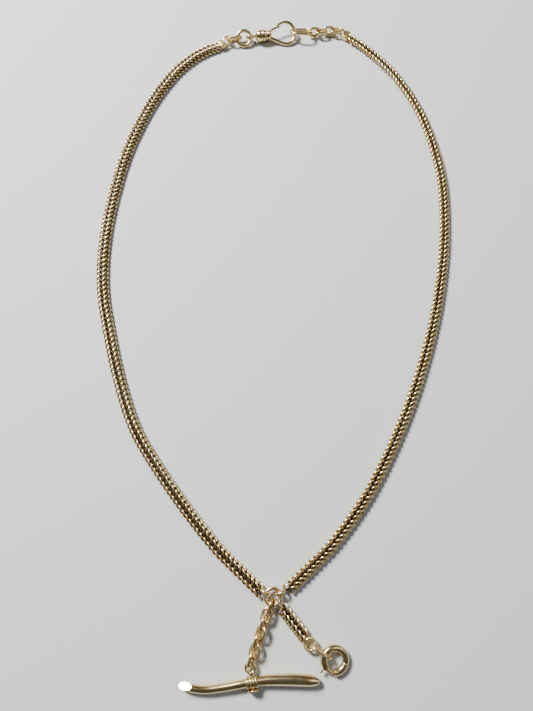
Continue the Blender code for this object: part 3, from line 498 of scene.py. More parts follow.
def oval_line(length: float, width: float, count: int = 72) -> Array:
    """The middle line of an oval link in the x, y plane: two half rounds and two straight sides.

    The distance s round the oval is spread evenly. On a straight side the point slides along it, and on a
    round it turns about the round's middle by (s - start) / radius.

    Args:
        length: Length of the middle line.
        width: Width of the middle line.
        count: Points round the oval.

    Returns:
        (count, 3) points.
    """
    radius = width / 2
    straight = length - width
    bow = math.pi * radius
    s = (straight * 2 + bow * 2) * np.arange(count) / count
    reach = straight / 2
    first_bow = (s >= 0) & (s < bow)
    first_side = (s >= bow) & (s < bow + straight)
    second_bow = (s >= bow + straight) & (s < 2 * bow + straight)
    turn = np.where(first_bow, s / radius - math.pi / 2, (s - bow - straight) / radius + math.pi / 2)
    x = np.select([first_bow, first_side, second_bow],
                  [reach + radius * np.cos(turn), reach - (s - bow), -reach + radius * np.cos(turn)],
                  -reach + (s - 2 * bow - straight))
    y = np.select([first_bow, first_side, second_bow], [radius * np.sin(turn), np.full(count, radius),
                                                        radius * np.sin(turn)], -radius)
    return np.stack([x, y, np.zeros(count)], axis=1)


# ------------------------------------------------------------------------------------------- finishes
@dataclass
class Graph:
    """A node tree with short calls for adding and joining nodes."""

    tree: bpy.types.NodeTree

    def add(self, kind: str, **settings: object) -> bpy.types.Node:
        """Adds a node and sets its properties and, by socket name, its inputs.

        Args:
            kind: Node type.
            settings: Properties of the node, or values of its inputs with spaces written as underscores.

        Returns:
            The node.
        """
        node = self.tree.nodes.new(kind)
        for key, value in settings.items():
            socket = key.replace("_", " ")
            if hasattr(node, key):
                setattr(node, key, value)
            else:
                node.inputs[socket].default_value = value
        return node

    def join(self, source: bpy.types.NodeSocket, target: bpy.types.NodeSocket) -> None:
        """Joins an output to an input."""
        self.tree.links.new(source, target)

    def math(self, operation: str, first: bpy.types.NodeSocket, second: object = 0.5,
             third: object = None) -> bpy.types.NodeSocket:
        """A Math node's output, for inputs that are sockets or numbers."""
        node = self.add("ShaderNodeMath", operation=operation)
        for socket, value in zip(node.inputs, (first, second, third)):
            if isinstance(value, bpy.types.NodeSocket):
                self.join(value, socket)
            elif value is not None:
                socket.default_value = value
        return node.outputs[0]

    def mix(self, factor: bpy.types.NodeSocket, first: object, second: object) -> bpy.types.NodeSocket:
        """A colour mix's output, for colours that are sockets or RGBA values."""
        node = self.add("ShaderNodeMix", data_type="RGBA")
        self.join(factor, node.inputs["Factor"])
        for name, value in (("A", first), ("B", second)):
            socket = next(item for item in node.inputs if item.name == name and item.type == "RGBA")
            if isinstance(value, bpy.types.NodeSocket):
                self.join(value, socket)
            else:
                socket.default_value = value
        return next(item for item in node.outputs if item.type == "RGBA")


def noise(graph: Graph, place: bpy.types.NodeSocket, scale: float, detail: float) -> bpy.types.NodeSocket:
    """Noise from 0 to 1 at a place, with scale features in a metre."""
    node = graph.add("ShaderNodeTexNoise", Scale=scale, Detail=detail)
    graph.join(place, node.inputs["Vector"])
    return node.outputs["Fac"]


def handled_metal_and_shade_group() -> bpy.types.NodeTree:
    """The shared rubbing of metal that is much handled, with its soiling and painted shade, built once.

    Tone is a soft noise of about 3 mm that drifts between the pale and the warm colour. Soiling and painted
    shade fill what the hollow attribute marks, broken up by a 0.5 mm noise: shade painted deep in the chain,
    in grooves and on the inner sides of rings. Rubs are fine lines, a noise stretched twenty times along one
    direction. Height adds the rubs and small dints.

    Returns:
        The group, with Tone, Shade and soil, Dullness and Height outputs.
    """
    name = "rubbed metal and painted shade"
    if name in bpy.data.node_groups:
        return bpy.data.node_groups[name]
    group = bpy.data.node_groups.new(name, "ShaderNodeTree")
    graph = Graph(group)
    for socket, value in (("Hollow", 0.0), ("Rub", 0.5), ("Dint", 0.5), ("Shade and soil depth", 0.8)):
        entry = group.interface.new_socket(name=socket, in_out="INPUT", socket_type="NodeSocketFloat")
        entry.default_value = value
    for socket in ("Tone", "Shade and soil", "Dullness", "Height"):
        group.interface.new_socket(name=socket, in_out="OUTPUT", socket_type="NodeSocketFloat")
    start = graph.add("NodeGroupInput")
    end = graph.add("NodeGroupOutput")
    place = graph.add("ShaderNodeTexCoord").outputs["Object"]
    tone = noise(graph, place, 330.0, 2.0)
    spots = noise(graph, place, 1900.0, 3.0)
    dints = noise(graph, place, 900.0, 1.0)
    stretch = graph.add("ShaderNodeMapping", vector_type="POINT")
    stretch.inputs["Rotation"].default_value = (0.4, 0.2, 0.7)
    stretch.inputs["Scale"].default_value = (1.0, 20.0, 6.0)
    graph.join(place, stretch.inputs["Vector"])
    lines = noise(graph, stretch.outputs["Vector"], 700.0, 4.0)
    ridges = graph.math("ABSOLUTE", graph.math("SUBTRACT", lines, 0.5))
    rubs = graph.math("MULTIPLY", ridges, start.outputs["Rub"])
    # painted shade: the hollow values, broken up by fine noise, darken the metal, with some soiling too
    deep = graph.math("MULTIPLY", start.outputs["Hollow"], start.outputs["Shade and soil depth"])
    shade_and_soil = graph.math("MULTIPLY", deep, graph.math("ADD", graph.math("MULTIPLY", spots, 0.9), 0.55))
    shade_and_soil.node.use_clamp = True
    graph.join(tone, end.inputs["Tone"])
    graph.join(shade_and_soil, end.inputs["Shade and soil"])
    graph.join(graph.math("ADD", rubs, graph.math("MULTIPLY", spots, 0.25)), end.inputs["Dullness"])
    bumps = graph.math("MULTIPLY", dints, start.outputs["Dint"])
    graph.join(graph.math("SUBTRACT", bumps, rubs), end.inputs["Height"])
    return group


@dataclass(frozen=True)
class MetalFinish:
    """A handled metal, with soiling and painted shade in its hollows.

    Attributes:
        name: Name of the material.
        pale: Colour where it is rubbed bright.
        warm: Colour where it keeps its tone.
        shade_and_soil: Colour of the soiling and painted shade in its hollows.
        roughness: Roughness where it is cleanest.
        rub: Strength of the rub lines.
        dint: Strength of the small dints.
        shade_and_soil_depth: How strongly soiling and painted shade fill its hollows.
        relief: Depth of the surface marks, in metres.
    """

    name: str
    pale: tuple[float, float, float, float]
    warm: tuple[float, float, float, float]
    shade_and_soil: tuple[float, float, float, float]
    roughness: float = 0.2
    rub: float = 0.6
    dint: float = 0.4
    shade_and_soil_depth: float = 0.85
    relief: float = 0.02 * MM

    def material(self) -> bpy.types.Material:
        """The material, made the first time that it is asked for."""
        if self.name in bpy.data.materials:
            return bpy.data.materials[self.name]
        material = bpy.data.materials.new(self.name)
        material.use_nodes = True
        material.node_tree.nodes.clear()
        graph = Graph(material.node_tree)
        shader = graph.add("ShaderNodeBsdfPrincipled", Metallic=1.0)
        output = graph.add("ShaderNodeOutputMaterial")
        hollow = graph.add("ShaderNodeAttribute", attribute_name="hollow")
        rubbing_and_shade = graph.add("ShaderNodeGroup", node_tree=handled_metal_and_shade_group())
        for socket, value in (("Rub", self.rub), ("Dint", self.dint), ("Shade and soil depth", self.shade_and_soil_depth)):
            rubbing_and_shade.inputs[socket].default_value = value
        graph.join(hollow.outputs["Fac"], rubbing_and_shade.inputs["Hollow"])
        drift = graph.add("ShaderNodeMapRange", From_Min=0.35, From_Max=0.65)
        graph.join(rubbing_and_shade.outputs["Tone"], drift.inputs["Value"])
        metal = graph.mix(drift.outputs["Result"], self.pale, self.warm)
        # the hollow values mix in a dark colour: soiling and painted shade
        graph.join(graph.mix(rubbing_and_shade.outputs["Shade and soil"], metal, self.shade_and_soil), shader.inputs["Base Color"])
        dull = graph.math("MULTIPLY_ADD", rubbing_and_shade.outputs["Dullness"], 0.5, self.roughness)
        rough = graph.math("MULTIPLY_ADD", rubbing_and_shade.outputs["Shade and soil"], 0.35, dull)
        graph.join(rough, shader.inputs["Roughness"])
        bump = graph.add("ShaderNodeBump", Strength=1.0, Distance=self.relief)
        graph.join(rubbing_and_shade.outputs["Height"], bump.inputs["Height"])
        graph.join(bump.outputs["Normal"], shader.inputs["Normal"])
        graph.join(shader.outputs["BSDF"], output.inputs["Surface"])
        return material


# dark colour of soiling and painted shade in every metal's hollows; the curb chain takes it in full
SOIL_AND_SHADE = (0.040, 0.024, 0.012, 1.0)
CURB_GOLD = MetalFinish("curb gold", (0.90, 0.72, 0.37, 1.0), (0.76, 0.53, 0.23, 1.0), SOIL_AND_SHADE, 0.15, shade_and_soil_depth=1.0)
LINK_GOLD = MetalFinish("link gold", (0.88, 0.70, 0.36, 1.0), (0.72, 0.49, 0.21, 1.0), SOIL_AND_SHADE, 0.18)
FITTING_GOLD = MetalFinish("fitting gold", (0.89, 0.73, 0.40, 1.0), (0.74, 0.53, 0.24, 1.0), SOIL_AND_SHADE, 0.12,
                           rub=0.5)
CAP_GOLD = MetalFinish("cap gold", (0.92, 0.76, 0.38, 1.0), (0.66, 0.46, 0.19, 1.0), SOIL_AND_SHADE, 0.24, dint=1.6,
                       relief=0.05 * MM)
SPRING_STEEL = MetalFinish("spring steel", (0.62, 0.61, 0.58, 1.0), (0.46, 0.44, 0.41, 1.0), SOIL_AND_SHADE, 0.3)


def dress(surface: Surface, name: str, finish: MetalFinish, body: str,
          nodes: tuple[str, ...] = ()) -> bpy.types.Object:
    """Makes a piece of a surface and hands it to its body.

    Args:
        surface: The piece in the row frame.
        name: Name of the piece.
        finish: Its metal.
        body: The body that it rides on.
        nodes: CAD nodes that it stands for.

    Returns:
        The piece.
    """
    piece = surface.to_object(name)
    piece.data.materials.append(finish.material())
    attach(piece, body)
    if nodes:
        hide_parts(*nodes)
    log.info("%s: %d points on %s", name, len(surface.points), body)
    return piece


# ------------------------------------------------------------------------------------------- curb chain
@dataclass(frozen=True)
class CurbChain:
    """Flat double curb chain: two rows of twisted links that lie into each other along the middle.

    A link's middle line is a sum of waves. With t from 0 to a full turn:
    along = 1.21 cos t + 0.20 cos 2t + 0.02 sin 2t,
    across = 0.83 - 0.03 cos t + 0.53 sin t + 0.07 cos 2t - 0.29 sin 2t - 0.15 sin 3t,
    up = 0.54 sin t + 0.01 cos 2t + 0.29 sin 2t, all in millimetres.
    The second row is the first turned half round the chain's own line and moved on by half a pitch.
    These numbers were not set by hand. They are the rounded result of a numerical search for the thickest
    wire, at about this width, thickness and pitch, whose links hook into the next of their own row and
    clear the other row.

    Attributes:
        pitch: From one link to the next in its row.
        wire: Radius of the wire.
        stations: Points along a link's line, before one subdivision.
        sides: Points round its wire, before one subdivision.
        half_width: Half the width of the chain.
        half_thickness: Half its thickness.
        row_middle: From the chain's middle line to the middle of a row.
        kept_reach: What one subdivision keeps of a four-sided tube's reach.
        lift: How far the chain lies above the table.
    """

    pitch: float = 1.6 * MM
    wire: float = 0.345 * MM
    stations: int = 16
    sides: int = 4
    half_width: float = 1.88 * MM
    half_thickness: float = 1.06 * MM
    row_middle: float = 0.83 * MM
    kept_reach: float = 0.73
    lift: float = 0.02 * MM

    def middle_line(self) -> Array:
        """A link's middle line, each wave raised by what one subdivision takes from it."""
        t = FULL_TURN * np.arange(self.stations) / self.stations
        step = FULL_TURN / self.stations
        kept = 0.75 + 0.25 * np.cos(np.arange(4) * step)
        waves = np.stack([np.ones_like(t), np.cos(t), np.sin(t), np.cos(2 * t), np.sin(2 * t),
                          np.cos(3 * t), np.sin(3 * t)])
        waves = waves / kept[[0, 1, 1, 2, 2, 3, 3], None]
        along = np.array([0.0, 1.21, 0.0, 0.20, 0.02, 0.0, 0.0]) @ waves
        across = np.array([0.83, -0.03, 0.53, 0.07, -0.29, 0.0, -0.15]) @ waves
        up = np.array([0.0, 0.0, 0.54, 0.01, 0.29, 0.0, 0.0]) @ waves
        return np.stack([along, across, up], axis=1) * MM

    def link(self) -> Surface:
        """One link of the first row, with its hollow values.

        The tube's corners stand at the wire's radius over what one subdivision keeps of it. A point is
        hollow where it is far from the chain's faces and edges, and the material paints shade there, deep
        between the links, with some soiling.
        """
        line = self.middle_line()
        middle = np.array([0.0, self.row_middle, 0.0])
        shell = tube(line, self.wire / self.kept_reach, line - middle, closed=True, sides=self.sides)
        # hollow values for painted shade: darker deep inside the chain, away from its faces and edges
        flatness = np.abs(shell.points[:, 2]) / self.half_thickness
        edge = np.abs(shell.points[:, 1]) / self.half_width
        open_air = np.maximum(flatness, 0.92 * edge)
        return shell.shaded_and_soiled((0.86 - open_air) / 0.45)

    def laid(self, centres: Array, headings: Array, rolls: Array) -> Surface:
        """Links of both rows laid along a line.

        Args:
            centres: (n, 3) middles of the pitches.
            headings: (n,) directions in plan.
            rolls: (n,) turns about the chain's own line.

        Returns:
            One surface of all the links.
        """
        link = self.link()
        count = len(link.points)
        half_turn = np.array([1.0, -1.0, -1.0])
        rows = [link.points, link.points * half_turn + np.array([self.pitch / 2, 0.0, 0.0])]
        cos, sin = np.cos(headings), np.sin(headings)
        zero = np.zeros_like(cos)
        forward = np.stack([cos, sin, zero], axis=1)
        left = np.stack([-sin, cos, zero], axis=1)
        roll_cos, roll_sin = np.cos(rolls)[:, None], np.sin(rolls)[:, None]
        axes = np.stack([forward, roll_cos * left + roll_sin * UP, roll_cos * UP - roll_sin * left], axis=1)
        points = np.concatenate([centres[:, None, :] + np.einsum("pk,nkj->npj", row, axes) for row in rows])
        total = len(points)
        quads = (link.quads[None] + (np.arange(total) * count)[:, None, None]).reshape(-1, 4)
        return Surface(points.reshape(-1, 3), quads, hollow=np.tile(link.hollow, total))


@dataclass
class Route:
    """A smooth line in plan through listed points, cut into even steps.

    Attributes:
        knots: (x, y) points in millimetres.
        shift: How far the whole plan is moved, in millimetres.
        lead: How far before its first point the first link lies.
    """

    knots: list[tuple[float, float]]
    shift: tuple[float, float] = (-0.163, 0.507)
    lead: float = 0.9 * MM

    def line(self) -> Array:
        """The smooth line, in metres."""
        return smooth_line((np.array(self.knots) + np.array(self.shift)) * MM, 24)

    def stepped(self, pitch: float) -> tuple[Array, Array, float]:
        """Even steps along the line.

        Args:
            pitch: Wanted step.

        Returns:
            The middles of the steps, the headings there, and the line's length. The first step lies a
            little before the line, so that its link reaches the lower link.
        """
        line = self.line()
        length = float(np.linalg.norm(np.diff(line, axis=0), axis=1).sum())
        line = np.vstack([line[0] - self.lead * unit(line[1] - line[0]), line])
        run = np.concatenate([[0.0], np.cumsum(np.linalg.norm(np.diff(line, axis=0), axis=1))])
        last = run[-1] - 0.55 * pitch
        at = np.linspace(0.0, last, int(round(last / pitch)) + 1)
        centres = np.stack([np.interp(at, run, line[:, i]) for i in range(2)], axis=1)
        heading = np.unwrap(np.arctan2(*np.gradient(line, axis=0).T[::-1]))
        return centres, np.interp(at, run, heading), length


@dataclass
class Strand:
    """One side of the loop: curb chain from the lower link up to its cap.

    Attributes:
        side: left or right.
        route: Where it lies.
        rolls: How far it is turned about its own line, at even steps from its lower end, in degrees.
        runs: CAD nodes that it stands for.
    """

    side: str
    route: Route
    rolls: tuple[float, ...]
    chain: CurbChain = CurbChain()
    runs: int = 8

    def build(self) -> bpy.types.Object:
        """Lays the links along the route."""
        centres, headings, length = self.route.stepped(self.chain.pitch)
        knots = np.array(self.rolls)[:, None]
        fine = smooth_line(knots, 16)[:, 0]
        here, knot_at = np.linspace(0.0, 1.0, len(centres)), np.linspace(0.0, 1.0, len(fine))
        rolls = np.radians(np.interp(here, knot_at, fine))
        heights = (self.chain.half_thickness * np.cos(rolls)
                   + 0.75 * self.chain.half_width * np.abs(np.sin(rolls)) + self.chain.lift)
        places = np.column_stack([centres, heights])
        surface = self.chain.laid(places, headings, rolls)
        nodes = tuple(f"{self.side}_strand_run_{number:02d}" for number in range(1, self.runs + 1))
        piece = dress(surface, f"{self.side}_strand", CURB_GOLD, "root", nodes)
        soften(piece)
        line = self.route.line()
        return piece


def soften(piece: bpy.types.Object) -> None:
    """Rounds a piece with one subdivision."""
    modifier = piece.modifiers.new("round wire", "SUBSURF")
    modifier.levels = 1
    modifier.render_levels = 1


LEFT_ROUTE = Route([
    (-5.7, -82.4), (-9.8, -78.7), (-16.9, -72.1), (-25.6, -62.0), (-33.9, -51.1), (-41.6, -39.2),
    (-47.0, -25.4), (-51.2, -10.6), (-54.6, 5.2), (-55.2, 21.7), (-53.4, 38.9), (-49.7, 56.4),
    (-43.2, 73.6), (-36.2, 85.7), (-30.2, 92.4), (-24.6, 96.4), (-20.4, 98.3)])
RIGHT_ROUTE = Route([
    (3.95, -81.95), (8.0, -78.3), (16.2, -70.4), (25.7, -58.1), (33.8, -44.0), (41.0, -28.6), (47.1, -11.8),
    (51.9, 6.3), (54.9, 25.8), (55.3, 46.4), (51.2, 67.2), (44.7, 82.1), (38.6, 91.0), (31.9, 98.2),
    (27.2, 102.1)])


# ------------------------------------------------------------------------------------------- plain links
@dataclass
class PlainLinks:
    """Round-wire links and rings that take their size and place from their own CAD nodes.

    Attributes:
        frame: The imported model.
        uneven: How much the wire's thickness drifts round a link, as a share.
        solder: How much the wire swells at its soldered joint, as a share.
    """

    frame: Frame
    uneven: float = 0.02
    solder: float = 0.05

    def wire(self, line: Array, radius: float, phase: float) -> Array:
        """The wire's radius, r (1 + uneven sin(2s + phase) + solder exp(-(s - 1.42 pi)^2 / 0.012))."""
        s = FULL_TURN * np.arange(len(line)) / len(line)
        return radius * (1.0 + self.uneven * np.sin(2.0 * s + phase)
                         + self.solder * np.exp(-(s - 1.42 * math.pi) ** 2 / 0.012))

    def surface(self, node: str, ring: bool) -> Surface:
        """The link or ring of a node.

        Args:
            node: Name of the CAD node.
            ring: Whether it is round; otherwise it is oval.

        Returns:
            The closed surface, deepest towards its own middle, where painted shade darkens its inner side.
        """
        seat, size = self.frame.link_seat(node)
        radius = size[2] / 2
        length, width = size[0] - size[2], size[1] - size[2]
        line = ring_line(length / 2) if ring else oval_line(length, width)
        phase = float(np.abs(seat.centre).sum() * 900.0)
        shell = tube(line, self.wire(line, radius, phase), UP, closed=True, sides=20)
        # painted shade on the inner side of the link or ring
        return shell.facing(np.zeros(3), size[1] / 2 - 0.8 * radius).placed(seat)

    def build(self, names: list[str], ring: bool = False) -> None:
        """Makes one piece for each node, on the body of the same name or on the root."""
        for name in names:
            body = name if name in self.frame.packed["bodies"] else "root"
            dress(self.surface(name, ring), f"{name}_wire", LINK_GOLD, body, (name,))


# ------------------------------------------------------------------------------------------- toggle bar
@dataclass
class ToggleBar:
    """The bar, its ribbed collar, and the eye whose pin is riveted through both.

    Attributes:
        frame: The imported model.
        eye_reach: From the bar's middle line to the eye's middle.
    """

    frame: Frame
    eye_reach: float = 3.4 * MM
    eye_outside: float = 3.2 * MM
    eye_wire: float = 0.35 * MM
    pin_radius: float = 0.42 * MM
    bar_radius: float = 1.12 * MM
    collar_gap: float = 0.08 * MM
    collar_wall: float = 0.32 * MM
    collar_length: float = 3.0 * MM
    ribs: int = 4
    rivet_radius: float = 1.45 * MM
    rivet_thickness: float = 0.5 * MM
    cut_heading: float = math.radians(112.0)
    cut_pitch: float = math.radians(60.0)

    def seat(self) -> Seat:
        """The bar's own axes: x along it, y towards the eye."""
        centre, across = self.frame.joint("t_bar_swivel")
        return Seat(centre, np.stack([np.cross(across, UP), across, UP]))

    def bar(self) -> Surface:
        """A tube along a gentle S, with a slanted cut on its left and a thick round nose on its right."""
        knots = np.array([
            (-16.0, 0.96, 0.2, 1.0), (-14.2, 0.36, 0.0, 1.0), (-12.0, -0.08, -0.1, 1.0),
            (-9.0, -0.2, -0.1, 1.02), (-6.0, -0.16, -0.05, 1.05), (-3.0, -0.03, 0.0, 1.09),
            (0.0, 0.0, 0.0, 1.12), (3.5, -0.1, 0.0, 1.22), (6.0, -0.3, 0.0, 1.36), (8.5, -0.58, 0.0, 1.44),
            (11.0, -0.95, 0.0, 1.48), (13.2, -1.35, 0.0, 1.45), (14.8, -1.66, 0.0, 1.38),
            (16.0, -1.92, 0.0, 1.2), (16.6, -2.08, 0.0, 1.0)]) * MM
        line = np.vstack([[-17.35 * MM, 1.6 * MM, 0.45 * MM, 0.92 * MM], smooth_line(knots, 6)])
        shell = tube(line[:, :3], line[:, 3], UP, sides=32, ends=(End.FLAT, End.ROUND))
        shell = self.slanted(shell, line[0, :3], unit(line[0, :3] - line[1, :3]))
        # painted shade where the bar runs into and under its collar
        under_collar = 1.0 - np.abs(shell.points[:, 0]) / (0.62 * self.collar_length)
        return shell.shaded_and_soiled(1.6 * under_collar)

    def slanted(self, shell: Surface, middle: Array, outward: Array) -> Surface:
        """A bar whose flat end is slid along the bar until it lies in the plane of its slanted cut.

        Args:
            shell: The bar.
            middle: Middle of its flat end.
            outward: Unit vector out of that end.
        """
        level = math.cos(self.cut_pitch)
        facing = np.array([level * math.cos(self.cut_heading), level * math.sin(self.cut_heading),
                           math.sin(self.cut_pitch)])
        away = shell.points - middle
        slide = np.outer(away @ facing / (outward @ facing), outward)
        at_end = (away @ outward > -0.4 * MM)[:, None]
        return Surface(np.where(at_end, shell.points - slide, shell.points), shell.quads, shell.triangles,
                       shell.hollow)

    def collar(self) -> Surface:
        """A ribbed sleeve: outside = bore + wall (0.3 + 0.78 |sin(pi ribs (x / length + 1/2))|^0.7)."""
        bore = self.bar_radius + self.collar_gap
        x = np.linspace(0.5, -0.5, 16 * self.ribs + 1)
        crest = np.abs(np.sin(math.pi * self.ribs * (x + 0.5))) ** 0.7
        outside = bore + self.collar_wall * (0.3 + 0.78 * crest)
        ribbed = np.column_stack([outside, x * self.collar_length])
        profile = np.vstack([[bore, 0.5 * self.collar_length], ribbed, [bore, -0.5 * self.collar_length]])
        shell = turned(profile, 48, closed=True)
        # painted shade in the grooves between the ribs
        return shell.shaded_and_soiled((1.0 - np.concatenate([[0.0], crest, [0.0]])).repeat(48) * 0.9)

    def eye(self) -> Surface:
        """The eye's ring, its pin and the riveted disc at the pin's far end."""
        middle = np.array([0.0, self.eye_reach, 0.0])
        ring_radius = self.eye_outside / 2 - self.eye_wire
        ring = tube(ring_line(ring_radius) + middle, self.eye_wire, UP, closed=True)
        far = -(self.bar_radius + self.collar_gap + self.collar_wall + 0.08 * MM)
        pin_line = np.linspace([0.0, far - 0.6 * self.rivet_thickness, 0.0],
                               [0.0, self.eye_reach - ring_radius, 0.0], 12)
        shoulder = np.where(pin_line[:, 1] > self.bar_radius + 0.5 * MM, 1.25, 1.0)
        pin = tube(pin_line, self.pin_radius * shoulder, UP, sides=20)
        disc = rounded(np.array([(0.0, far), (self.rivet_radius, far),
                                 (self.rivet_radius, far - self.rivet_thickness),
                                 (0.55 * self.rivet_radius, far - 1.1 * self.rivet_thickness),
                                 (0.0, far - 1.15 * self.rivet_thickness)]), 0.16 * MM)
        along_y = Seat(np.zeros(3), np.array([[0.0, 1.0, 0.0], [0.0, 0.0, 1.0], [1.0, 0.0, 0.0]]))
        rivet = turned(disc, 36).placed(along_y)
        # painted shade on the ring's inner side and along the pin towards the eye
        return Surface.joined([ring.facing(middle, ring_radius), pin.facing(middle * 0.5, 1.6 * MM), rivet])

    def build(self) -> None:
        """Makes the bar and its collar on the bar's body, and the eye on its own."""
        seat = self.seat()
        dress(self.bar().placed(seat), "toggle_bar", FITTING_GOLD, "t_bar", ("t_bar",))
        dress(self.collar().placed(seat), "toggle_collar", FITTING_GOLD, "t_bar",
              ("t_bar_collar",))
        dress(self.eye().placed(seat), "toggle_eye", FITTING_GOLD, "t_bar_eye", ("t_bar_eye",))


# ------------------------------------------------------------------------------------------- bolt ring
@dataclass
class BoltRing:
    """A hollow ring with a gap that a sprung bolt closes, drawn back by a thumb knob.

    Angles are in degrees round the ring's own middle, from its x axis.
    """

    frame: Frame
    outside: float = 7.8 * MM
    tube_radius: float = 0.9 * MM
    wall: float = 0.24 * MM
    bolt_radius: float = 0.5 * MM
    knob_radius: float = 0.45 * MM
    stem_radius: float = 0.22 * MM
    run_gap: float = 0.15 * MM
    mouth: float = 219.0
    socket: float = 267.0
    tip: float = 271.5
    tail: float = 150.0
    knob: float = 213.5
    travel: float = 36.0
    notch: float = 345.0

    @property
    def radius(self) -> float:
        """Radius of the ring's middle line."""
        return self.outside / 2 - self.tube_radius

    def seat(self) -> Seat:
        """The ring's axes: the row's own, turned the shortest way until z lies along the bolt's axis."""
        centre, axis = self.frame.joint("bolt_slide")
        normal = -axis
        lean = np.cross(UP, normal)
        angle = math.asin(min(1.0, float(np.linalg.norm(lean))))
        return Seat(centre, np.eye(3) @ turn_about(unit(lean), angle))

    def case(self) -> Surface:
        """The case's outer sheet, open at its mouth and along the knob's slot.

        The tube's radius is r (1 - 0.1 exp(-((a - notch) / 3)^2)) at angle a, and at the socket it turns in
        to leave a round hole for the bolt. Faces within the slot's half width of the outermost line are left
        out.
        """
        rim = np.array([0.74, 0.8, 0.92, 1.0, 1.0])
        lead = np.radians([0.0, 0.0, 0.35, 1.4, 3.0])
        angle = np.concatenate([math.radians(self.socket) + lead,
                                np.radians(np.linspace(self.socket + 5.0, self.mouth + 360.0, 132))])
        line = self.radius * np.stack([np.cos(angle), np.sin(angle), np.zeros(len(angle))], axis=1)
        line[:2, 0] -= np.array([0.5, 0.3]) * 0.02 * MM
        dent = 1.0 - 0.10 * np.exp(-((np.degrees(angle) - self.notch) / 3.0) ** 2)
        radii = self.tube_radius * dent * np.concatenate([rim, np.ones(132)])
        sides = 48
        shell = tube(line, radii, UP, sides=sides, ends=(End.OPEN, End.OPEN))
        corner = shell.points[shell.quads].mean(axis=1)
        reach = np.hypot(corner[:, 0], corner[:, 1])
        turn = np.degrees(np.arctan2(corner[:, 1], corner[:, 0])) % 360.0
        in_slot = ((turn > self.knob - self.travel - 6.0) & (turn < self.mouth) & (reach > self.radius)
                   & (np.abs(corner[:, 2]) < self.stem_radius + self.run_gap))
        # painted shade on the inner side of the ring
        from_middle = np.hypot(shell.points[:, 0], shell.points[:, 1])
        inner = 1.0 - np.abs(from_middle - self.radius + self.tube_radius) / (0.7 * MM)
        return Surface(shell.points, shell.quads[~in_slot], hollow=np.clip(0.55 * inner, 0.0, 1.0))

    def bolt(self) -> Surface:
        """The bent bolt, with the knob's stem and ball."""
        line = arc_line(self.radius, math.radians(self.tail), math.radians(self.tip), 60)
        rod = tube(line, self.bolt_radius, UP, sides=20, ends=(End.ROUND, End.FLAT))
        aim = np.array([math.cos(math.radians(self.knob)), math.sin(math.radians(self.knob)), 0.0])
        reach = self.radius + self.tube_radius + self.run_gap + self.knob_radius
        stem = tube(np.linspace(aim * self.radius, aim * reach, 8), self.stem_radius, UP, sides=14)
        ball = pillow((2 * self.knob_radius, 2 * self.knob_radius, 2 * self.knob_radius), 2.3, 16, 24)
        ball_seat = Seat(aim * reach, np.stack([aim, np.cross(UP, aim), UP]))
        return Surface.joined([rod, stem, ball.placed(ball_seat)])

    def build(self) -> None:
        """Makes the case, which gets its wall from Solidify, and the bolt on its own body."""
        seat = self.seat()
        case = dress(self.case().placed(seat), "bolt_ring_shell", FITTING_GOLD, "bolt_ring",
                     ("bolt_ring_case",))
        wall = case.modifiers.new("wall", "SOLIDIFY")
        wall.thickness = self.wall
        wall.offset = -1.0
        dress(self.bolt().placed(seat), "sprung_bolt", FITTING_GOLD, "bolt", ("bolt",))


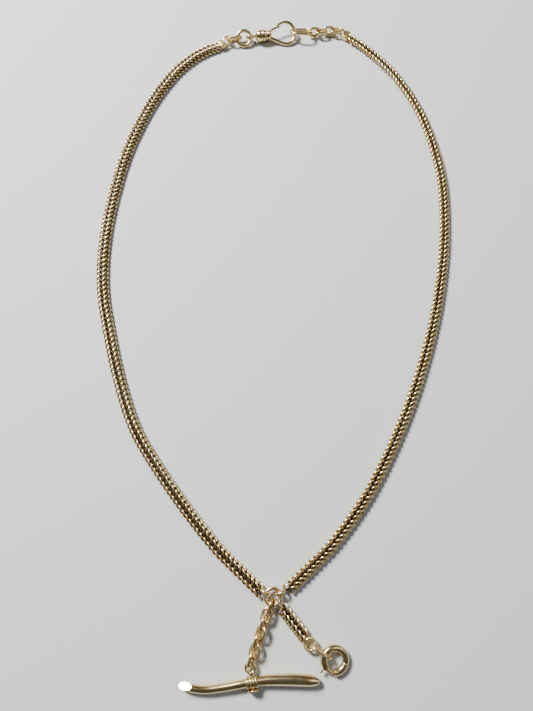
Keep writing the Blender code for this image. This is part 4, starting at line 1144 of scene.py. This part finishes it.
# ------------------------------------------------------------------------------------------- swivel clasp
@dataclass
class SwivelClasp:
    """The swivel's eye, its domed barrel, and the pear hook with its sprung gate."""

    frame: Frame
    radius: float = 1.95 * MM
    length: float = 3.7 * MM
    wall: float = 0.45 * MM
    run_gap: float = 0.15 * MM
    eye_outside: float = 3.2 * MM
    eye_wire: float = 0.35 * MM
    eye_roll: float = math.radians(-62.0)
    stem_radius: float = 0.42 * MM
    head_radius: float = 0.85 * MM
    base_start: float = 0.15 * MM
    base_length: float = 2.0 * MM
    knuckle_radius: float = 0.48 * MM
    knuckle_width: float = 0.70 * MM

    def seat(self) -> Seat:
        """The swivel's axes: x from the eye to the hook."""
        centre, along = self.frame.joint("swivel_turn")
        return Seat(centre, np.stack([along, np.cross(UP, along), UP]))

    def hook_seat(self) -> Seat:
        """The hook's axes: z along the gate's pin."""
        seat = self.seat()
        normal = -self.frame.joint("gate_hinge")[1]
        return Seat(seat.centre, np.stack([seat.axes[0], np.cross(normal, seat.axes[0]), normal]))

    def barrel(self) -> Surface:
        """A domed barrel with two grooves near its mouth and a hollow for the stem's head."""
        r, end = self.radius, -self.length
        mouth = self.stem_radius + self.run_gap
        hollow = r - self.wall - 0.25 * MM
        groove = np.array([(r, 0.20), (0.93 * r, 0.235), (0.93 * r, 0.265), (r, 0.30), (r, 0.37),
                           (0.94 * r, 0.40), (0.94 * r, 0.43), (0.985 * r, 0.46)]) * np.array([1.0, end])
        outside = np.vstack([[(0.0, 0.0), (0.86 * r, 0.0), (0.97 * r, 0.04 * end), (r, 0.1 * end)], groove,
                             [(0.95 * r, 0.62 * end), (0.84 * r, 0.78 * end), (0.62 * r, 0.92 * end),
                              (0.40 * r, 0.985 * end), (mouth, end)]])
        inside = np.array([(mouth, end + 1.6 * self.wall), (hollow, 0.62 * end), (hollow, -0.9 * MM),
                           (0.0, -0.9 * MM)])
        shell = turned(rounded(np.vstack([outside, inside]), 0.14 * MM), 56)
        # painted shade in the two grooves and round the stem's hole
        reach = np.hypot(shell.points[:, 1], shell.points[:, 2])
        in_groove = (np.abs(reach / r - 0.935) < 0.02) & (shell.points[:, 0] > 0.5 * end)
        return shell.shaded_and_soiled(np.where(in_groove | (reach < 0.3 * r), 0.9, 0.0))

    def eye(self) -> Surface:
        """The eye's ring, the stem that enters the barrel and the head that keeps it there."""
        middle = -self.length - self.run_gap - self.eye_outside / 2 - 0.1 * MM
        ring_radius = self.eye_outside / 2 - self.eye_wire
        lean = Seat(np.array([middle, 0.0, 0.0]), np.eye(3)).rolled(self.eye_roll)
        ring = tube(ring_line(ring_radius), self.eye_wire, UP, closed=True).placed(lean)
        start, end = middle + ring_radius, -0.62 * self.length + 0.65 * MM
        stem = tube(np.linspace([start, 0.0, 0.0], [end, 0.0, 0.0], 14), self.stem_radius, UP, sides=20)
        head_end = end - 0.5 * MM
        head = turned(rounded(np.array([(0.0, end), (self.head_radius, end), (self.head_radius, head_end),
                                        (0.0, head_end)]), 0.1 * MM), 28)
        # painted shade on the inner side of the eye's ring
        return Surface.joined([ring.facing(np.array([middle, 0.0, 0.0]), ring_radius), stem, head])

    def hook(self) -> Surface:
        """The hook's ribbed base, and its wire bent round the pear to a tapered tip."""
        start, length = self.base_start, self.base_length
        base = np.array([(0.0, 1.0), (0.75, 1.0), (1.12, 0.93), (1.45, 0.80), (1.66, 0.62), (1.62, 0.50),
                         (1.28, 0.43), (1.28, 0.38), (1.62, 0.32), (1.70, 0.20), (1.62, 0.07), (1.35, 0.0),
                         (0.0, 0.0)])
        profile = np.column_stack([base[:, 0] * MM, start + length * base[:, 1]])
        shell = turned(rounded(profile, 0.12 * MM), 48)
        # painted shade in the groove of the base
        reach = np.hypot(shell.points[:, 1], shell.points[:, 2])
        shell = shell.shaded_and_soiled(np.where(np.abs(shell.points[:, 0] - start - 0.41 * length) < 0.14 * MM,
                                    1.4 - reach / (1.5 * MM), 0.0))
        knots = np.array([
            (1.4, -0.75, 0.60), (2.6, -1.3, 0.585), (4.2, -2.05, 0.575), (5.9, -2.8, 0.575),
            (7.6, -3.2, 0.575), (9.2, -2.75, 0.575), (10.25, -1.5, 0.585), (10.65, 0.3, 0.60),
            (10.2, 2.1, 0.585), (8.9, 3.5, 0.56), (7.2, 3.95, 0.52), (5.7, 3.65, 0.44),
            (4.5, 3.2, 0.36)]) * MM
        line = smooth_line(knots, 8)
        bent = np.column_stack([line[:, :2], np.zeros(len(line))])
        wire = tube(bent, line[:, 2], UP, sides=24, ends=(End.FLAT, End.ROUND))
        # painted shade on the inner side of the bent wire
        return Surface.joined([shell, wire.facing(np.array([6.6, 0.2, 0.0]) * MM, 3.4 * MM)])

    def gate(self) -> Surface:
        """The gate's tongue and the knuckle on its pin."""
        knots = np.array([(1.4, 1.08, 0.36), (2.4, 1.7, 0.37), (3.4, 2.16, 0.37), (4.4, 2.44, 0.36),
                          (5.2, 2.58, 0.33)]) * MM
        line = smooth_line(knots, 8)
        level = np.column_stack([line[:, :2], np.zeros(len(line))])
        tongue = tube(level, line[:, 2], UP, sides=20, flat=0.95)
        pivot = np.array([1.35, 1.05, 0.0]) * MM
        half = self.knuckle_width / 2
        bore = 0.34 * MM
        outline = np.array([(bore, half), (self.knuckle_radius, half), (self.knuckle_radius, -half),
                            (bore, -half)])
        sleeve = turned(rounded(outline, 0.06 * MM), 32, closed=True)
        upright = Seat(pivot, np.array([[0.0, 0.0, 1.0], [1.0, 0.0, 0.0], [0.0, 1.0, 0.0]]))
        return Surface.joined([tongue, sleeve.placed(upright)])

    def pin(self) -> Surface:
        """The gate's pin, with a low dome on each end."""
        half = 1.05 * MM
        outline = np.array([(0.0, half), (0.2 * MM, 0.97 * half), (0.26 * MM, 0.9 * half),
                            (0.26 * MM, -0.9 * half), (0.2 * MM, -0.97 * half), (0.0, -half)])
        profile = rounded(outline, 0.04 * MM)
        upright = Seat(np.array([1.35, 1.05, 0.0]) * MM,
                       np.array([[0.0, 0.0, 1.0], [1.0, 0.0, 0.0], [0.0, 1.0, 0.0]]))
        return turned(profile, 24).placed(upright)

    def build(self) -> None:
        """Makes the clasp's pieces, each on the body that it rides on."""
        seat, hook_seat = self.seat(), self.hook_seat()
        dress(self.eye().placed(seat), "swivel_eye_ring", FITTING_GOLD, "root", ("swivel_eye",))
        dress(self.barrel().placed(seat), "swivel_dome", FITTING_GOLD, "swivel",
              ("swivel_barrel",))
        dress(self.hook().placed(hook_seat), "pear_hook", FITTING_GOLD, "swivel",
              ("swivel_hook",))
        dress(self.gate().placed(hook_seat), "hook_gate", FITTING_GOLD, "gate", ("swivel_gate",))
        dress(self.pin().placed(hook_seat), "hook_pin", FITTING_GOLD, "swivel", ("gate_pin",))


# ------------------------------------------------------------------------------------------- end caps
@dataclass
class EndCap:
    """A flat ferrule that closes the end of a strand, with the eye of its end link."""

    frame: Frame
    side: str
    heading: float
    eye_roll: float
    length: float = 2.3 * MM
    width: float = 3.1 * MM
    thickness: float = 2.1 * MM
    eye_outside: float = 3.45 * MM
    eye_wire: float = 0.375 * MM
    eye_height: float = 1.68 * MM

    def build(self) -> None:
        """Makes the cap of a squarish pillow and a ring."""
        foot = self.frame.mount(f"{self.side}_cap_rest")
        cos, sin = math.cos(self.heading), math.sin(self.heading)
        axes = np.array([[cos, sin, 0.0], [-sin, cos, 0.0], [0.0, 0.0, 1.0]])
        seat = Seat(foot + UP * self.thickness / 2, axes)
        block = pillow((self.length, self.width, self.thickness), 5.0, 28, 48)
        middle = np.array([self.length / 2 + self.eye_outside / 2 - 2 * self.eye_wire, 0.0,
                           self.eye_height - self.thickness / 2 - foot[2]])
        lean = Seat(middle, np.eye(3)).rolled(self.eye_roll)
        ring_radius = self.eye_outside / 2 - self.eye_wire
        ring = tube(ring_line(ring_radius), self.eye_wire, UP, closed=True)
        # painted shade on the inner side of the eye's ring
        ring = ring.placed(lean).facing(middle, ring_radius)
        dress(Surface.joined([block, ring]).placed(seat), f"{self.side}_ferrule", CAP_GOLD, "root",
              (f"{self.side}_end_cap",))


# ------------------------------------------------------------------------------------------- stage
@dataclass(frozen=True)
class SoftLight:
    """A square soft light that looks at the middle of the chain."""

    name: str
    place: tuple[float, float, float]
    size: float
    power: float

    def build(self) -> bpy.types.Object:
        """Makes the light."""
        data = bpy.data.lights.new(self.name, "AREA")
        data.size = self.size
        data.energy = self.power
        light = bpy.data.objects.new(self.name, data)
        bpy.context.scene.collection.objects.link(light)
        light.location = self.place
        aim = -unit(np.array(self.place))
        light.rotation_euler = (math.acos(-aim[2]), 0.0, math.atan2(aim[1], aim[0]) - math.pi / 2)
        return light


@dataclass
class Stage:
    """The pale floor, the soft lights, the even sky and the camera."""

    floor_size: float = 3.0
    floor_colour: tuple[float, float, float, float] = (0.56, 0.57, 0.56, 1.0)
    sky_colour: tuple[float, float, float, float] = (0.80, 0.84, 0.90, 1.0)
    sky_strength: float = 0.10
    camera_place: tuple[float, float, float] = (-3.163 * MM, -58.43 * MM, 158.1 * MM)
    camera_tilt: float = math.radians(15.0)
    lens: float = 27.04
    lights: tuple[SoftLight, ...] = (
        SoftLight("key", (-0.45, 0.42, 0.58), 0.20, 23.0),
        SoftLight("fill", (0.55, 0.10, 0.75), 0.6, 1.6),
    )

    def floor(self) -> bpy.types.Object:
        """A plain matt floor under the chain."""
        half = self.floor_size / 2
        corners = np.array([(-half, -half, 0.0), (half, -half, 0.0), (half, half, 0.0), (-half, half, 0.0)])
        floor = Surface(corners, np.array([[0, 1, 2, 3]])).to_object("floor")
        material = bpy.data.materials.new("floor")
        material.use_nodes = True
        shader = material.node_tree.nodes["Principled BSDF"]
        shader.inputs["Base Color"].default_value = self.floor_colour
        shader.inputs["Roughness"].default_value = 0.75
        floor.data.materials.append(material)
        return floor

    def sky(self) -> None:
        """An even sky."""
        world = bpy.data.worlds.new("studio")
        bpy.context.scene.world = world
        world.use_nodes = True
        background = world.node_tree.nodes["Background"]
        background.inputs["Color"].default_value = self.sky_colour
        background.inputs["Strength"].default_value = self.sky_strength

    def camera(self) -> None:
        """The camera, looking down and a little forwards."""
        data = bpy.data.cameras.new("camera")
        data.lens = self.lens
        data.clip_start = 0.01
        camera = bpy.data.objects.new("camera", data)
        bpy.context.scene.collection.objects.link(camera)
        camera.location = self.camera_place
        camera.rotation_euler = (self.camera_tilt, 0.0, 0.0)
        bpy.context.scene.camera = camera

    def build(self) -> None:
        """Sets the stage."""
        self.camera()
        self.sky()
        self.floor()
        [light.build() for light in self.lights]


# ------------------------------------------------------------------------------------------- the chain
@dataclass
class WatchChain:
    """All the sub-assemblies, in the order in which they are made."""

    frame: Frame

    def build(self) -> None:
        """Makes the strands, the links, the drops, the clasp and the caps."""
        Strand("left", LEFT_ROUTE, (4.0, -7.0, -2.0, 3.0, 0.0, 2.0, 5.0, 0.0)).build()
        Strand("right", RIGHT_ROUTE, (-4.0, 5.0, 3.0, -2.0, 0.0, -3.0, -5.0, 0.0)).build()
        self.strap_drop()
        links = PlainLinks(self.frame)
        links.build(["centre_ring", "jump_ring", "strap_drop_ring"], ring=True)
        links.build(["left_lower_link", "right_lower_link", "strap_drop_link", "bolt_ring_link", "clasp_link",
                     "left_end_link"])
        links.build([f"bar_drop_link_{number}" for number in range(1, 8)])
        links.build([f"right_end_link_{number}" for number in range(1, 5)])
        ToggleBar(self.frame).build()
        BoltRing(self.frame).build()
        SwivelClasp(self.frame).build()
        EndCap(self.frame, "left", math.radians(31.0), math.radians(20.0)).build()
        EndCap(self.frame, "right", math.radians(146.0), math.radians(80.0)).build()
        for node in ("bolt_spring", "gate_spring"):
            materials = self.frame.packed["nodes"][node].data.materials
            materials.clear()
            materials.append(SPRING_STEEL.material())

    def strap_drop(self) -> None:
        """The short strap of the same curb chain, from its link to its ring."""
        chain = CurbChain()
        near = self.frame.link_seat("strap_drop_link")[0].centre
        far = self.frame.link_seat("strap_drop_ring")[0].centre
        along = unit((far - near) * np.array([1.0, 1.0, 0.0]))
        low, high = (np.array(corner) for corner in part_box("strap_drop"))
        middle = (low + high) / 2
        count = 6
        steps = (np.arange(count) - (count - 1) / 2 - 0.25) * chain.pitch
        centres = middle + steps[:, None] * along
        heading = math.atan2(along[1], along[0])
        surface = chain.laid(centres, np.full(count, heading), np.zeros(count))
        soften(dress(surface, "short_strap", CURB_GOLD, "strap_drop", ("strap_drop",)))


def main() -> None:
    """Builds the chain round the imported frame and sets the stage."""
    logging.basicConfig(level=logging.INFO, format="%(name)s: %(message)s")
    frame = Frame(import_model())
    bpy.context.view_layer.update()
    WatchChain(frame).build()
    Stage().build()


if __name__ == "__main__":
    main()
